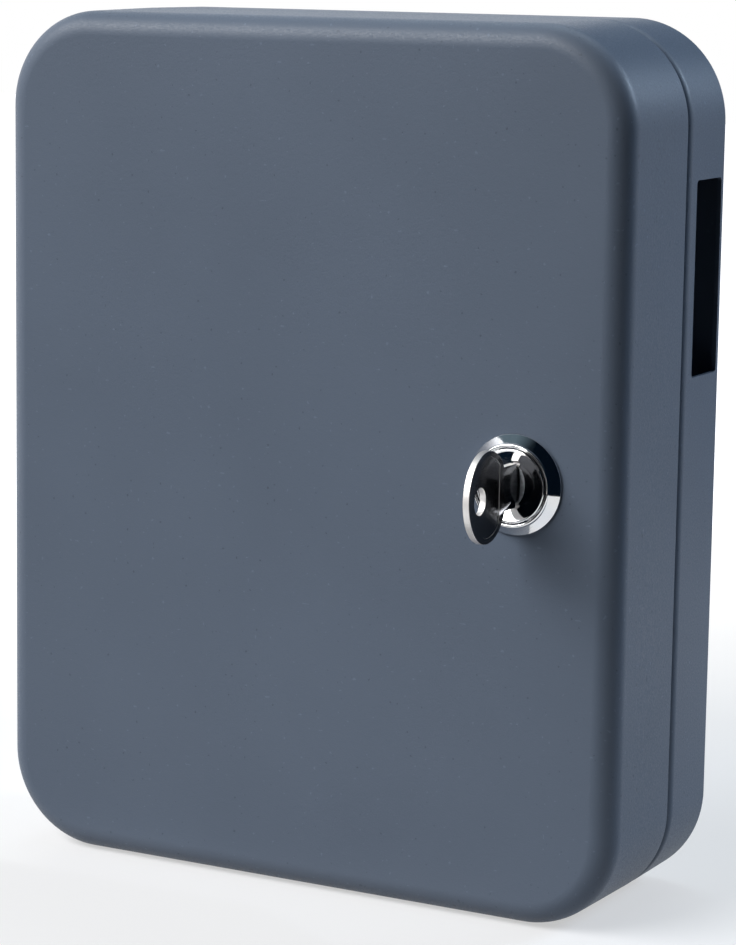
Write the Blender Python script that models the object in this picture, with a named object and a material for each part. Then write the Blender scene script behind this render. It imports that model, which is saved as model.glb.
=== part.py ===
"""Steel key cabinet: pressed case and door on a rolled pin hinge, hook rails, a cam lock and its key.

Metres. X runs to the viewer's right, Y to the back, Z up.
The origin is the middle of the case's flat back.
"""

import math

import bmesh
import bpy

for old in list(bpy.data.objects):
    bpy.data.objects.remove(old, do_unlink=True)

# Closed case, outside sizes
CASE_WIDTH = 0.160
CASE_HEIGHT = 0.200
CORNER_RADIUS = 0.0228
SHEET = 0.001

# Case pan: flat back, walls, and a flange that turns in behind the door
CASE_DEPTH = 0.0224
BACK_RADIUS = 0.0018
FLANGE_RADIUS = 0.003
FLANGE_WIDTH = 0.007

# Door pan
DOOR_DEPTH = 0.0305
DOOR_FRONT_RADIUS = 0.0056
DOOR_DRAFT = 0.0004
SEAM_GAP = 0.0003

# Space left between pieces that seat on each other, overrun of the cutting tools, and weld distance
FIT_GAP = 0.0003
OVERRUN = 0.0015
WELD_DISTANCE = 0.000003

# Key drop slot in the right wall
SLOT_WIDTH = 0.0141
SLOT_HEIGHT = 0.0440
SLOT_RADIUS = 0.001
SLOT_FROM_BACK = 0.0026
SLOT_MIDDLE_BELOW_TOP = 0.0569

# Round holes in the back for the wall screws; the upper two lie midway between the first two rails
WALL_HOLE_DIAMETER = 0.006
WALL_HOLE_FROM_SIDE = 0.030
WALL_HOLE_ABOVE_BOTTOM = 0.020

# Pin hinge on the left edge, between the corners
HINGE_FROM_CORNER = 0.0042
HINGE_SHEET = 0.0008
LEAF_WIDTH = 0.0125
PIN_DIAMETER = 0.0024
PIN_HEAD_DIAMETER = 0.0038
PIN_HEAD_THICKNESS = 0.0008
HINGE_GAP = 0.0003
KNUCKLE_COUNT = 11
ROLL_DEGREES = 290

# Hook rails, spread over the back with room for hanging keys under the last one
RAIL_COUNT = 4
HOOKS_PER_RAIL = 5
RAIL_FROM_SIDE = 0.015
RAIL_HEIGHT = 0.020
RAIL_SHEET = 0.001
FIRST_RAIL_BELOW_TOP = 0.024
LAST_RAIL_ABOVE_BOTTOM = 0.062
RAIL_CORNER_CUT = 0.003
HOOK_FROM_RAIL_END = 0.017
HOOK_WIDTH = 0.0052
HOOK_TIP_CUT = 0.0016
HOOK_REACH = 0.0090
HOOK_RISE = 0.0056
HOOK_BEND_RADIUS = 0.0015
WINDOW_SIDE_GAP = 0.0006
WINDOW_HEIGHT = 0.0150

# Countersunk rivets that hold the rails
RIVET_DIAMETER = 0.003
RIVET_HEAD_DIAMETER = 0.0058
RIVET_HEAD_HEIGHT = 0.0011
RIVET_SINK_DIAMETER = 0.0046
RIVET_FROM_RAIL_END = 0.006
RIVET_TAIL_SETBACK = 0.0001

# Cam lock, measured along its axis from the door's front face
LOCK_FROM_SIDE = 0.0252
LOCK_HEAD_DIAMETER = 0.0223
LOCK_COLLAR_DIAMETER = 0.0190
LOCK_RIM_DIAMETER = 0.0182
LOCK_HEAD_HEIGHT = 0.0030
LOCK_COLLAR_HEIGHT = 0.0009
LOCK_EDGE_HEIGHT = 0.0003
LOCK_HEAD_FLOOR = 0.0010
BARREL_DIAMETER = 0.018
BARREL_FLATS = 0.0155
BARREL_LENGTH = 0.022

# Plug that turns in the barrel
PLUG_FACE_DIAMETER = 0.0164
PLUG_DISH_DIAMETER = 0.0152
PLUG_CORE_DIAMETER = 0.0092
PLUG_DISH_DEPTH = 0.0022
KEYWAY_MOUTH_WIDTH = 0.0051
KEYWAY_MOUTH_HEIGHT = 0.0087
KEYWAY_MOUTH_DEPTH = 0.0012
PLUG_DIAMETER = 0.0124
TAIL_SQUARE = 0.0064
TAIL_DIAMETER = 0.0084
TAIL_HOLE_DIAMETER = 0.0040
TAIL_HOLE_DEPTH = 0.0062
LUG_WIDTH = 0.003
LUG_RADIUS = 0.0074
LUG_LENGTH = 0.0025
QUARTER_TURN_DEGREES = 90

# Key
KEY_THICKNESS = 0.0016
KEY_BOW_HEIGHT = 0.0202
KEY_BOW_LENGTH = 0.0183
KEY_BOW_FROM_DOOR = 0.0150
KEY_BOW_DROP = 0.0007
KEY_HOLE_HEIGHT = 0.0060
KEY_HOLE_LENGTH = 0.0055
KEY_HOLE_FROM_BOW_CENTRE = 0.0037
KEY_HOLE_DROP = 0.0003
KEY_PANEL_INSET = 0.0013
KEY_PANEL_DEPTH = 0.00012
KEY_PANEL_FROM_BOW_END = 0.0037
KEY_NECK_WIDTH = 0.0098
KEY_NECK_IN_DISH = 0.0015
KEY_BLADE_WIDTH = 0.0076
KEY_BLADE_LENGTH = 0.0155
KEY_TIP_LENGTH = 0.0022
KEY_TIP_WIDTH = 0.0027
KEY_CUT_DEPTH = 0.0014
KEY_CUT_PITCH = 0.0026
KEY_CUT_SHARES = (0.35, 0.9, 0.5, 1.0, 0.25)

# Nut and toothed washer behind the door
NUT_ACROSS_FLATS = 0.0235
NUT_THICKNESS = 0.0042
NUT_CHAMFER = 0.0009
WASHER_DIAMETER = 0.0240
WASHER_ROOT_DIAMETER = 0.0215
WASHER_THICKNESS = 0.0009
WASHER_TEETH = 14

# Cranked cam, its washer and screw
CAM_SHEET = 0.0018
CAM_HUB_DIAMETER = 0.016
CAM_REACH = 0.0225
CAM_TIP_WIDTH = 0.009
CAM_CRANK_START = 0.0090
CAM_CRANK_RUN = 0.0040
CAM_BEHIND_FLANGE = 0.0005
CAM_WASHER_DIAMETER = 0.0076
CAM_WASHER_BORE = 0.0044
CAM_WASHER_THICKNESS = 0.0009
CAM_SCREW_DIAMETER = 0.0034
CAM_SCREW_HEAD_DIAMETER = 0.007
CAM_SCREW_HEAD_HEIGHT = 0.0024
CAM_SCREW_HEAD_CHAMFER = 0.0008
CAM_SCREW_LENGTH = 0.0068
SCREW_SLOT_WIDTH = 0.0010
SCREW_SLOT_DEPTH = 0.0011

# Smoothness of round shapes
CORNER_STEPS = 9
FRONT_STEPS = 6
BEND_STEPS = 4
SMALL_BEND_STEPS = 3
ROUND_STEPS = 36
SMALL_ROUND_STEPS = 20
RIVET_STEPS = 14
SHADE_DEGREES = 35
ROUND_PROFILE = 0.5

# Places that follow from the sizes
SEAM_Y = -(CASE_DEPTH + SEAM_GAP)
FRONT_Y = SEAM_Y - DOOR_DEPTH
EYE_BORE_RADIUS = PIN_DIAMETER / 2 + HINGE_GAP
EYE_RADIUS = EYE_BORE_RADIUS + HINGE_SHEET
HINGE_X = -CASE_WIDTH / 2 + SHEET + FIT_GAP - EYE_BORE_RADIUS
HINGE_Y = -(CASE_DEPTH + SEAM_GAP / 2)
HINGE_LENGTH = CASE_HEIGHT - 2 * (CORNER_RADIUS + HINGE_FROM_CORNER)
HINGE_RELIEF_LENGTH = HINGE_LENGTH + 2 * (PIN_HEAD_THICKNESS + 2 * HINGE_GAP)
RAIL_Y = -(SHEET + FIT_GAP)
RAIL_LENGTH = CASE_WIDTH - 2 * RAIL_FROM_SIDE
RAIL_TOP_Z = CASE_HEIGHT / 2 - FIRST_RAIL_BELOW_TOP
RAIL_PITCH = (CASE_HEIGHT - FIRST_RAIL_BELOW_TOP - LAST_RAIL_ABOVE_BOTTOM) / (RAIL_COUNT - 1)
HOOK_PITCH = (RAIL_LENGTH - 2 * HOOK_FROM_RAIL_END) / (HOOKS_PER_RAIL - 1)
WALL_HOLE_X = CASE_WIDTH / 2 - WALL_HOLE_FROM_SIDE
WALL_HOLE_UPPER_Z = RAIL_TOP_Z - RAIL_PITCH / 2
WALL_HOLE_LOWER_Z = WALL_HOLE_ABOVE_BOTTOM - CASE_HEIGHT / 2
SLOT_MIDDLE_Z = CASE_HEIGHT / 2 - SLOT_MIDDLE_BELOW_TOP
LOCK_X = CASE_WIDTH / 2 - LOCK_FROM_SIDE
CAM_Y = BARREL_LENGTH + 2 * FIT_GAP
CAM_TIP_Y = DOOR_DEPTH + SEAM_GAP + SHEET + CAM_BEHIND_FLANGE


def paint(name, colour, metallic, roughness):
    material = bpy.data.materials.new(name)
    material.use_nodes = True
    shader = material.node_tree.nodes["Principled BSDF"]
    shader.inputs["Base Color"].default_value = (*colour, 1)
    shader.inputs["Metallic"].default_value = metallic
    shader.inputs["Roughness"].default_value = roughness
    return material


def make(name, shape, material, carrier=None, place=(0, 0, 0)):
    """Turns a bmesh into a named object at its place on the empty that carries it."""
    mesh = bpy.data.meshes.new(name)
    shape.to_mesh(mesh)
    shape.free()
    if material is not None:
        mesh.materials.append(material)
    piece = bpy.data.objects.new(name, mesh)
    bpy.context.scene.collection.objects.link(piece)
    piece.parent = carrier
    piece.location = place
    return piece


def smooth(piece):
    """Shades bends as round and flats as flat, after the cuts."""
    piece.data.shade_smooth()
    piece.data.set_sharp_from_angle(angle=math.radians(SHADE_DEGREES))
    shading = piece.modifiers.new("flat_faces", "WEIGHTED_NORMAL")
    shading.keep_sharp = True


def axis_empty(name, place, carrier=None):
    empty = bpy.data.objects.new(name, None)
    bpy.context.scene.collection.objects.link(empty)
    empty.parent = carrier
    empty.location = place
    return empty


def combine(piece, tool, operation="DIFFERENCE"):
    """Cuts, joins or keeps a piece by a hidden tool shape."""
    tool.hide_render = True
    tool.display_type = "WIRE"
    step = piece.modifiers.new(tool.name, "BOOLEAN")
    step.operation = operation
    step.solver = "EXACT"
    step.object = tool


def thicken(piece, thickness, offset):
    sheet = piece.modifiers.new("sheet", "SOLIDIFY")
    sheet.thickness = thickness
    sheet.offset = offset
    sheet.use_even_offset = True


def rounded_rectangle(width, height, radius, steps):
    """Corner arcs of a rounded rectangle in X and Z, counterclockwise as seen from the front."""
    points = []
    for side_x, side_z, start in ((1, 1, 0), (-1, 1, 90), (-1, -1, 180), (1, -1, 270)):
        centre_x = side_x * (width / 2 - radius)
        centre_z = side_z * (height / 2 - radius)
        for step in range(steps + 1):
            angle = math.radians(start + 90 * step / steps)
            points.append((centre_x + radius * math.cos(angle), centre_z + radius * math.sin(angle)))
    return points


def oval(centre, reach, start, end, steps):
    """Points of an oval arc in a plane, from one angle to another in degrees. reach is its two radii."""
    points = []
    for step in range(steps + 1):
        angle = math.radians(start + (end - start) * step / steps)
        points.append((centre[0] + reach[0] * math.cos(angle), centre[1] + reach[1] * math.sin(angle)))
    return points


def bend(centre, radius, start, end, steps):
    return oval(centre, (radius, radius), start, end, steps)


def circle(radius, steps, centre=(0, 0)):
    return bend(centre, radius, 0, 360, steps)[:-1]


def dome(radius, base, height, steps):
    """Outline of a low dome from its top on the axis to its edge, as (radius, y) points."""
    return oval((0, base), (radius, -height), 90, 0, steps)


def extrude_outline(shape, corners, sweep):
    """Adds a closed prism: an outline of 3-D corners, swept along a vector."""
    face = shape.faces.new([shape.verts.new(corner) for corner in corners])
    swept = bmesh.ops.extrude_face_region(shape, geom=[face])
    moved = [item for item in swept["geom"] if isinstance(item, bmesh.types.BMVert)]
    bmesh.ops.translate(shape, verts=moved, vec=sweep)
    bmesh.ops.recalc_face_normals(shape, faces=shape.faces)


def prism_along_y(shape, outline, start, end):
    extrude_outline(shape, [(x, start, z) for x, z in outline], (0, end - start, 0))


def add_box(shape, low, high):
    corners = ((low[0], low[2]), (high[0], low[2]), (high[0], high[2]), (low[0], high[2]))
    prism_along_y(shape, corners, low[1], high[1])


def turned(profile, steps):
    """Spins an outline of (radius, y) points about the Y axis. Any open outline ends on the axis."""
    shape = bmesh.new()
    corners = [shape.verts.new((radius, y, 0)) for radius, y in profile]
    edges = [shape.edges.new(pair) for pair in zip(corners, corners[1:])]
    if min(profile[0][0], profile[-1][0]) > 0:
        edges.append(shape.edges.new((corners[-1], corners[0])))
    bmesh.ops.spin(
        shape,
        geom=corners + edges,
        cent=(0, 0, 0),
        axis=(0, 1, 0),
        angle=2 * math.pi,
        steps=steps,
        use_merge=True,
    )
    bmesh.ops.remove_doubles(shape, verts=shape.verts, dist=WELD_DISTANCE)
    bmesh.ops.recalc_face_normals(shape, faces=shape.faces)
    return shape


def pressed_skin(stations, flip):
    """Outer skin of a pressed pan, from flat face to rim. A station is (inset from the outside size, y)."""
    shape = bmesh.new()
    rings = []
    for inset, y in stations:
        outline = rounded_rectangle(
            CASE_WIDTH - 2 * inset, CASE_HEIGHT - 2 * inset, CORNER_RADIUS - inset, CORNER_STEPS
        )
        rings.append([shape.verts.new((x, y, z)) for x, z in outline])
    shape.faces.new(rings[0])
    for near, far in zip(rings, rings[1:]):
        for k in range(len(near)):
            after = (k + 1) % len(near)
            shape.faces.new((near[k], far[k], far[after], near[after]))
    if flip:
        bmesh.ops.reverse_faces(shape, faces=shape.faces)
    return shape


def flats_tool(name, reach, half_width, start, end, carrier, upright=False):
    """Two blocks that leave a pair of flats on a round shaft."""
    shape = bmesh.new()
    for side in (-1, 1):
        near, far = sorted((side * half_width, side * (half_width + reach)))
        if upright:
            add_box(shape, (-reach, start, near), (reach, end, far))
        else:
            add_box(shape, (near, start, -reach), (far, end, reach))
    return make(name, shape, None, carrier)


coat = paint("grey_powder_coat", (0.105, 0.130, 0.165), 0.0, 0.45)
zinc = paint("zinc_plated_steel", (0.62, 0.63, 0.62), 1.0, 0.35)
chrome = paint("chrome", (0.78, 0.79, 0.80), 1.0, 0.08)
nickel = paint("nickel_plated_key", (0.66, 0.64, 0.60), 1.0, 0.18)


# Case shell: one pressed pan, back, walls and flange
def case_shell():
    stations = bend((BACK_RADIUS, -BACK_RADIUS), BACK_RADIUS, 90, 180, BEND_STEPS)
    stations += bend((FLANGE_RADIUS, -CASE_DEPTH + FLANGE_RADIUS), FLANGE_RADIUS, 180, 270, BEND_STEPS)
    stations.append((FLANGE_WIDTH, -CASE_DEPTH))
    piece = make("case_shell", pressed_skin(stations, flip=True), coat)
    thicken(piece, SHEET, -1)

    slot = bmesh.new()
    outline = rounded_rectangle(SLOT_WIDTH, SLOT_HEIGHT, SLOT_RADIUS, BEND_STEPS)
    slot_y = -(SLOT_FROM_BACK + SLOT_WIDTH / 2)
    start = CASE_WIDTH / 2 - SHEET - OVERRUN
    corners = [(start, slot_y + across, SLOT_MIDDLE_Z + up) for across, up in outline]
    extrude_outline(slot, corners, (SHEET + 2 * OVERRUN, 0, 0))
    combine(piece, make("slot_tool", slot, None))

    holes = bmesh.new()
    for x in (-WALL_HOLE_X, WALL_HOLE_X):
        for z in (WALL_HOLE_LOWER_Z, WALL_HOLE_UPPER_Z):
            outline = circle(WALL_HOLE_DIAMETER / 2, SMALL_ROUND_STEPS, (x, z))
            prism_along_y(holes, outline, -SHEET - OVERRUN, OVERRUN)
    combine(piece, make("wall_hole_tool", holes, None))

    sinks = bmesh.new()
    for x, z in rivet_places():
        cone = turned(rivet_hole_profile(), RIVET_STEPS)
        bmesh.ops.translate(cone, verts=cone.verts, vec=(x, 0, z))
        spare = bpy.data.meshes.new("rivet_hole")
        cone.to_mesh(spare)
        cone.free()
        sinks.from_mesh(spare)
    combine(piece, make("rivet_hole_tool", sinks, None))

    relief = bmesh.new()
    relief_y = HINGE_Y + EYE_RADIUS + HINGE_GAP
    add_box(
        relief,
        (-CASE_WIDTH / 2 - OVERRUN, -CASE_DEPTH - OVERRUN, -HINGE_RELIEF_LENGTH / 2),
        (-CASE_WIDTH / 2 + FLANGE_WIDTH + OVERRUN, relief_y, HINGE_RELIEF_LENGTH / 2),
    )
    combine(piece, make("case_relief_tool", relief, None))
    smooth(piece)


# Door shell: one pressed pan with a rolled front edge and slightly drafted walls
def door_shell(hinge):
    front = SEAM_Y - HINGE_Y - DOOR_DEPTH
    centre = (DOOR_DRAFT + DOOR_FRONT_RADIUS, front + DOOR_FRONT_RADIUS)
    stations = bend(centre, DOOR_FRONT_RADIUS, 270, 180, FRONT_STEPS)
    stations.append((0, SEAM_Y - HINGE_Y))
    piece = make("door_shell", pressed_skin(stations, flip=False), coat, hinge, (-HINGE_X, 0, 0))
    thicken(piece, SHEET, -1)

    opening = bmesh.new()
    radius = BARREL_DIAMETER / 2 + FIT_GAP
    flat = BARREL_FLATS / 2 + FIT_GAP
    outline = [(max(-flat, min(flat, x)), z) for x, z in circle(radius, ROUND_STEPS)]
    outline = [(x + LOCK_X, z) for x, z in outline]
    prism_along_y(opening, outline, front - OVERRUN, front + SHEET + OVERRUN)
    combine(piece, make("lock_hole_tool", opening, None, hinge, (-HINGE_X, 0, 0)))

    relief = bmesh.new()
    add_box(
        relief,
        (-CASE_WIDTH / 2 - OVERRUN, -EYE_RADIUS - HINGE_GAP, -HINGE_RELIEF_LENGTH / 2),
        (-CASE_WIDTH / 2 + SHEET + OVERRUN, OVERRUN, HINGE_RELIEF_LENGTH / 2),
    )
    combine(piece, make("door_relief_tool", relief, None, hinge, (-HINGE_X, 0, 0)))
    smooth(piece)


# Hinge leaf: a strip whose edge is rolled round the pin, then notched into knuckles
def hinge_leaf(name, side, own_knuckles, carrier, place, lean=0.0):
    """side is 1 for the leaf that runs back into the case and -1 for the one that runs into the door."""
    mid_radius = EYE_BORE_RADIUS + HINGE_SHEET / 2
    path = [(mid_radius, side * LEAF_WIDTH)]
    path += bend((0, 0), mid_radius, 0, -side * ROLL_DEGREES, SMALL_ROUND_STEPS)
    shape = bmesh.new()
    line = [shape.verts.new((x, y, -HINGE_LENGTH / 2)) for x, y in path]
    edges = [shape.edges.new(pair) for pair in zip(line, line[1:])]
    swept = bmesh.ops.extrude_edge_only(shape, edges=edges)
    moved = [item for item in swept["geom"] if isinstance(item, bmesh.types.BMVert)]
    bmesh.ops.translate(shape, verts=moved, vec=(0, 0, HINGE_LENGTH))
    piece = make(name, shape, zinc, carrier, place)
    piece.rotation_euler.z = lean
    thicken(piece, HINGE_SHEET, 0)

    notches = bmesh.new()
    reach = EYE_RADIUS + HINGE_GAP
    knuckle = HINGE_LENGTH / KNUCKLE_COUNT
    for k in range(KNUCKLE_COUNT):
        if k in own_knuckles:
            continue
        low = -HINGE_LENGTH / 2 + k * knuckle - HINGE_GAP / 2
        high = low + knuckle + HINGE_GAP
        add_box(notches, (-EYE_RADIUS - OVERRUN, -reach, low), (EYE_RADIUS + OVERRUN, reach, high))
    tool = make(name + "_notch_tool", notches, None, carrier, place)
    tool.rotation_euler.z = lean
    combine(piece, tool)
    smooth(piece)


# Hinge pin, with a low dome at each end
def hinge_pin():
    end = HINGE_LENGTH / 2 + HINGE_GAP
    profile = dome(PIN_HEAD_DIAMETER / 2, -end, PIN_HEAD_THICKNESS, SMALL_BEND_STEPS)
    profile.append((PIN_DIAMETER / 2, -end))
    profile += [(radius, -y) for radius, y in reversed(profile)]
    piece = make("hinge_pin", turned(profile, SMALL_ROUND_STEPS), zinc, None, (HINGE_X, HINGE_Y, 0))
    piece.rotation_euler.x = math.pi / 2
    smooth(piece)


def rail_heights():
    return [RAIL_TOP_Z - k * RAIL_PITCH for k in range(RAIL_COUNT)]


def rivet_places():
    x = RAIL_LENGTH / 2 - RIVET_FROM_RAIL_END
    return [(side * x, z) for z in rail_heights() for side in (-1, 1)]


def rivet_hole_profile():
    """Countersunk hole through the case's back, a fit gap wider than the rivet all round."""
    shank = RIVET_DIAMETER / 2 + FIT_GAP
    sink = RIVET_SINK_DIAMETER / 2 + FIT_GAP
    return [
        (0, -SHEET - OVERRUN),
        (shank, -SHEET - OVERRUN),
        (shank, -SHEET / 2),
        (sink, 0),
        (sink, OVERRUN),
        (0, OVERRUN),
    ]


def round_corners(shape, corners, size):
    """Rounds corners of a flat skin with quarter arcs."""
    bmesh.ops.bevel(
        shape, geom=corners, offset=size, segments=SMALL_BEND_STEPS, affect="VERTICES", profile=ROUND_PROFILE
    )


# Hook rail: a flat strip, with each hook lanced up out of its own window
def hook_rail(name, height):
    half_hook = HOOK_WIDTH / 2
    half_window = half_hook + WINDOW_SIDE_GAP
    centres = [(k - (HOOKS_PER_RAIL - 1) / 2) * HOOK_PITCH for k in range(HOOKS_PER_RAIL)]
    columns = [-RAIL_LENGTH / 2]
    for x in centres:
        columns += [x - half_window, x - half_hook, x + half_hook, x + half_window]
    columns.append(RAIL_LENGTH / 2)
    window_low = -WINDOW_HEIGHT / 2
    rows = (-RAIL_HEIGHT / 2, window_low, window_low + WINDOW_HEIGHT, RAIL_HEIGHT / 2)

    shape = bmesh.new()
    grid = [[shape.verts.new((x, 0, z)) for x in columns] for z in rows]
    for r in range(len(rows) - 1):
        for c in range(len(columns) - 1):
            in_window = r == 1 and c % 4 != 0
            if not in_window:
                low, high = grid[r], grid[r + 1]
                shape.faces.new((low[c], low[c + 1], high[c + 1], high[c]))

    radius = HOOK_BEND_RADIUS
    path = bend((-radius, window_low), radius, 0, 90, SMALL_BEND_STEPS)[1:]
    path += bend((-HOOK_REACH + radius, window_low + 2 * radius), radius, 270, 180, SMALL_BEND_STEPS)
    path.append((-HOOK_REACH, window_low + radius + HOOK_RISE))
    tips = []
    for k, x in enumerate(centres):
        left, right = grid[1][4 * k + 2], grid[1][4 * k + 3]
        for y, z in path:
            new_left = shape.verts.new((x - half_hook, y, z))
            new_right = shape.verts.new((x + half_hook, y, z))
            shape.faces.new((left, right, new_right, new_left))
            left, right = new_left, new_right
        tips += [left, right]
    ends = [row[column] for row in (grid[0], grid[-1]) for column in (0, -1)]
    round_corners(shape, tips, HOOK_TIP_CUT)
    round_corners(shape, ends, RAIL_CORNER_CUT)
    bmesh.ops.recalc_face_normals(shape, faces=shape.faces)
    piece = make(name, shape, zinc, None, (0, RAIL_Y - RAIL_SHEET / 2, height))
    thicken(piece, RAIL_SHEET, 0)

    holes = bmesh.new()
    x = RAIL_LENGTH / 2 - RIVET_FROM_RAIL_END
    for side in (-1, 1):
        outline = circle(RIVET_DIAMETER / 2 + FIT_GAP, RIVET_STEPS, (side * x, 0))
        prism_along_y(holes, outline, -RAIL_SHEET / 2 - OVERRUN, RAIL_SHEET / 2 + OVERRUN)
    combine(piece, make(name + "_hole_tool", holes, None, None, piece.location))
    smooth(piece)


# Rail rivet: domed head on the rail, shank through both sheets, countersunk tail flush with the back
def rail_rivet(name, x, z):
    head_y = RAIL_Y - RAIL_SHEET - FIT_GAP
    shank = RIVET_DIAMETER / 2
    profile = dome(RIVET_HEAD_DIAMETER / 2, head_y, RIVET_HEAD_HEIGHT, SMALL_BEND_STEPS)
    profile += [
        (shank, head_y),
        (shank, -SHEET / 2),
        (RIVET_SINK_DIAMETER / 2, -RIVET_TAIL_SETBACK),
        (0, -RIVET_TAIL_SETBACK),
    ]
    smooth(make(name, turned(profile, RIVET_STEPS), zinc, None, (x, 0, z)))


# Lock housing: conical chromed head with a raised collar, and a barrel with two flats and a stop notch
def lock_housing(lock):
    edge = LOCK_HEAD_DIAMETER / 2
    collar = LOCK_COLLAR_DIAMETER / 2
    rim = LOCK_RIM_DIAMETER / 2
    recess = PLUG_FACE_DIAMETER / 2 + FIT_GAP
    bore = PLUG_DIAMETER / 2 + FIT_GAP
    floor = -LOCK_HEAD_FLOOR
    profile = [
        (bore, floor),
        (recess, floor),
        (recess, -LOCK_HEAD_HEIGHT),
        (rim, -LOCK_HEAD_HEIGHT),
        (collar, -LOCK_HEAD_HEIGHT + LOCK_COLLAR_HEIGHT),
        (edge, -FIT_GAP - LOCK_EDGE_HEIGHT),
        (edge, -FIT_GAP),
        (BARREL_DIAMETER / 2, -FIT_GAP),
        (BARREL_DIAMETER / 2, BARREL_LENGTH),
        (bore, BARREL_LENGTH),
    ]
    piece = make("lock_housing", turned(profile, ROUND_STEPS), chrome, lock)
    end = BARREL_LENGTH + OVERRUN
    flats = flats_tool("barrel_flats_tool", BARREL_DIAMETER, BARREL_FLATS / 2, -FIT_GAP / 2, end, lock)
    combine(piece, flats)

    notch = bmesh.new()
    margin = math.degrees((LUG_WIDTH / 2 + FIT_GAP) / (PLUG_DIAMETER / 2))
    last = 90 - QUARTER_TURN_DEGREES - margin
    sector = [(0, 0)] + bend((0, 0), BARREL_DIAMETER, 90 + margin, last, SMALL_ROUND_STEPS)
    prism_along_y(notch, sector, BARREL_LENGTH - LUG_LENGTH - 2 * FIT_GAP, BARREL_LENGTH + OVERRUN)
    combine(piece, make("stop_notch_tool", notch, None, lock))
    smooth(piece)


# Lock plug: dished face, keyway with a tapered mouth, stop lug, square tail and a hole for the cam screw
def lock_plug(turn):
    face = PLUG_FACE_DIAMETER / 2
    shaft = PLUG_DIAMETER / 2
    tail = TAIL_DIAMETER / 2
    core_y = -LOCK_HEAD_HEIGHT + PLUG_DISH_DEPTH
    shoulder_y = BARREL_LENGTH + FIT_GAP
    tail_y = CAM_Y + CAM_SHEET
    profile = [
        (0, core_y),
        (PLUG_CORE_DIAMETER / 2, core_y),
        (PLUG_DISH_DIAMETER / 2, -LOCK_HEAD_HEIGHT),
        (face, -LOCK_HEAD_HEIGHT),
        (face, -LOCK_HEAD_FLOOR - FIT_GAP),
        (shaft, -LOCK_HEAD_FLOOR - FIT_GAP),
        (shaft, shoulder_y),
        (tail, shoulder_y),
        (tail, tail_y),
        (TAIL_HOLE_DIAMETER / 2, tail_y),
        (TAIL_HOLE_DIAMETER / 2, tail_y - TAIL_HOLE_DEPTH),
        (0, tail_y - TAIL_HOLE_DEPTH),
    ]
    piece = make("lock_plug", turned(profile, ROUND_STEPS), chrome, turn)

    lug = bmesh.new()
    add_box(
        lug,
        (-LUG_WIDTH / 2, BARREL_LENGTH - LUG_LENGTH, shaft / 2),
        (LUG_WIDTH / 2, shoulder_y - FIT_GAP / 2, LUG_RADIUS),
    )
    combine(piece, make("lug_tool", lug, None, turn), "UNION")
    for upright in (False, True):
        end = tail_y + OVERRUN
        flats = flats_tool("tail_flats_tool", TAIL_DIAMETER, TAIL_SQUARE / 2, shoulder_y, end, turn, upright)
        combine(piece, flats)

    keyway = bmesh.new()
    wide = KEY_THICKNESS / 2 + FIT_GAP
    tall = KEY_BLADE_WIDTH / 2 + FIT_GAP
    add_box(keyway, (-wide, -LOCK_HEAD_HEIGHT, -tall), (wide, KEY_BLADE_LENGTH + FIT_GAP, tall))
    combine(piece, make("keyway_tool", keyway, None, turn))

    half_mouth = KEYWAY_MOUTH_WIDTH / 2
    profile = [
        (0, core_y + KEYWAY_MOUTH_DEPTH),
        (half_mouth, core_y),
        (half_mouth, core_y - OVERRUN),
        (0, core_y - OVERRUN),
    ]
    mouth = turned(profile, SMALL_ROUND_STEPS)
    bmesh.ops.scale(mouth, verts=mouth.verts, vec=(1, 1, KEYWAY_MOUTH_HEIGHT / KEYWAY_MOUTH_WIDTH))
    combine(piece, make("keyway_mouth_tool", mouth, None, turn))
    smooth(piece)


def barrel_hole_tool(name, start, thickness, carrier):
    shape = bmesh.new()
    outline = circle(BARREL_DIAMETER / 2 + FIT_GAP, ROUND_STEPS)
    prism_along_y(shape, outline, start - OVERRUN, start + thickness + OVERRUN)
    return make(name, shape, None, carrier)


# Toothed washer between the door and the nut
def lock_washer(lock):
    shape = bmesh.new()
    outer = []
    for k in range(WASHER_TEETH):
        for quarter in range(4):
            radius = (WASHER_ROOT_DIAMETER if quarter < 2 else WASHER_DIAMETER) / 2
            angle = 2 * math.pi * (k + quarter / 4) / WASHER_TEETH
            outer.append((radius * math.cos(angle), radius * math.sin(angle)))
    start = SHEET + FIT_GAP
    prism_along_y(shape, outer, start, start + WASHER_THICKNESS)
    piece = make("lock_washer", shape, zinc, lock)
    combine(piece, barrel_hole_tool("washer_bore_tool", start, WASHER_THICKNESS, lock))


# Hex nut with chamfered corners, which clamps the housing to the door
def lock_nut(lock):
    shape = bmesh.new()
    start = SHEET + 2 * FIT_GAP + WASHER_THICKNESS
    corner = NUT_ACROSS_FLATS / math.sqrt(3)
    prism_along_y(shape, circle(corner, 6), start, start + NUT_THICKNESS)
    piece = make("lock_nut", shape, zinc, lock)
    flat = NUT_ACROSS_FLATS / 2
    end = start + NUT_THICKNESS
    profile = [
        (0, start - OVERRUN),
        (flat - NUT_CHAMFER, start - OVERRUN),
        (flat - NUT_CHAMFER, start),
        (corner, start + NUT_CHAMFER),
        (corner, end - NUT_CHAMFER),
        (flat - NUT_CHAMFER, end),
        (flat - NUT_CHAMFER, end + OVERRUN),
        (0, end + OVERRUN),
    ]
    combine(piece, make("nut_chamfer_tool", turned(profile, ROUND_STEPS), None, lock), "INTERSECT")
    combine(piece, barrel_hole_tool("nut_bore_tool", start, NUT_THICKNESS, lock))
    smooth(piece)


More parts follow.
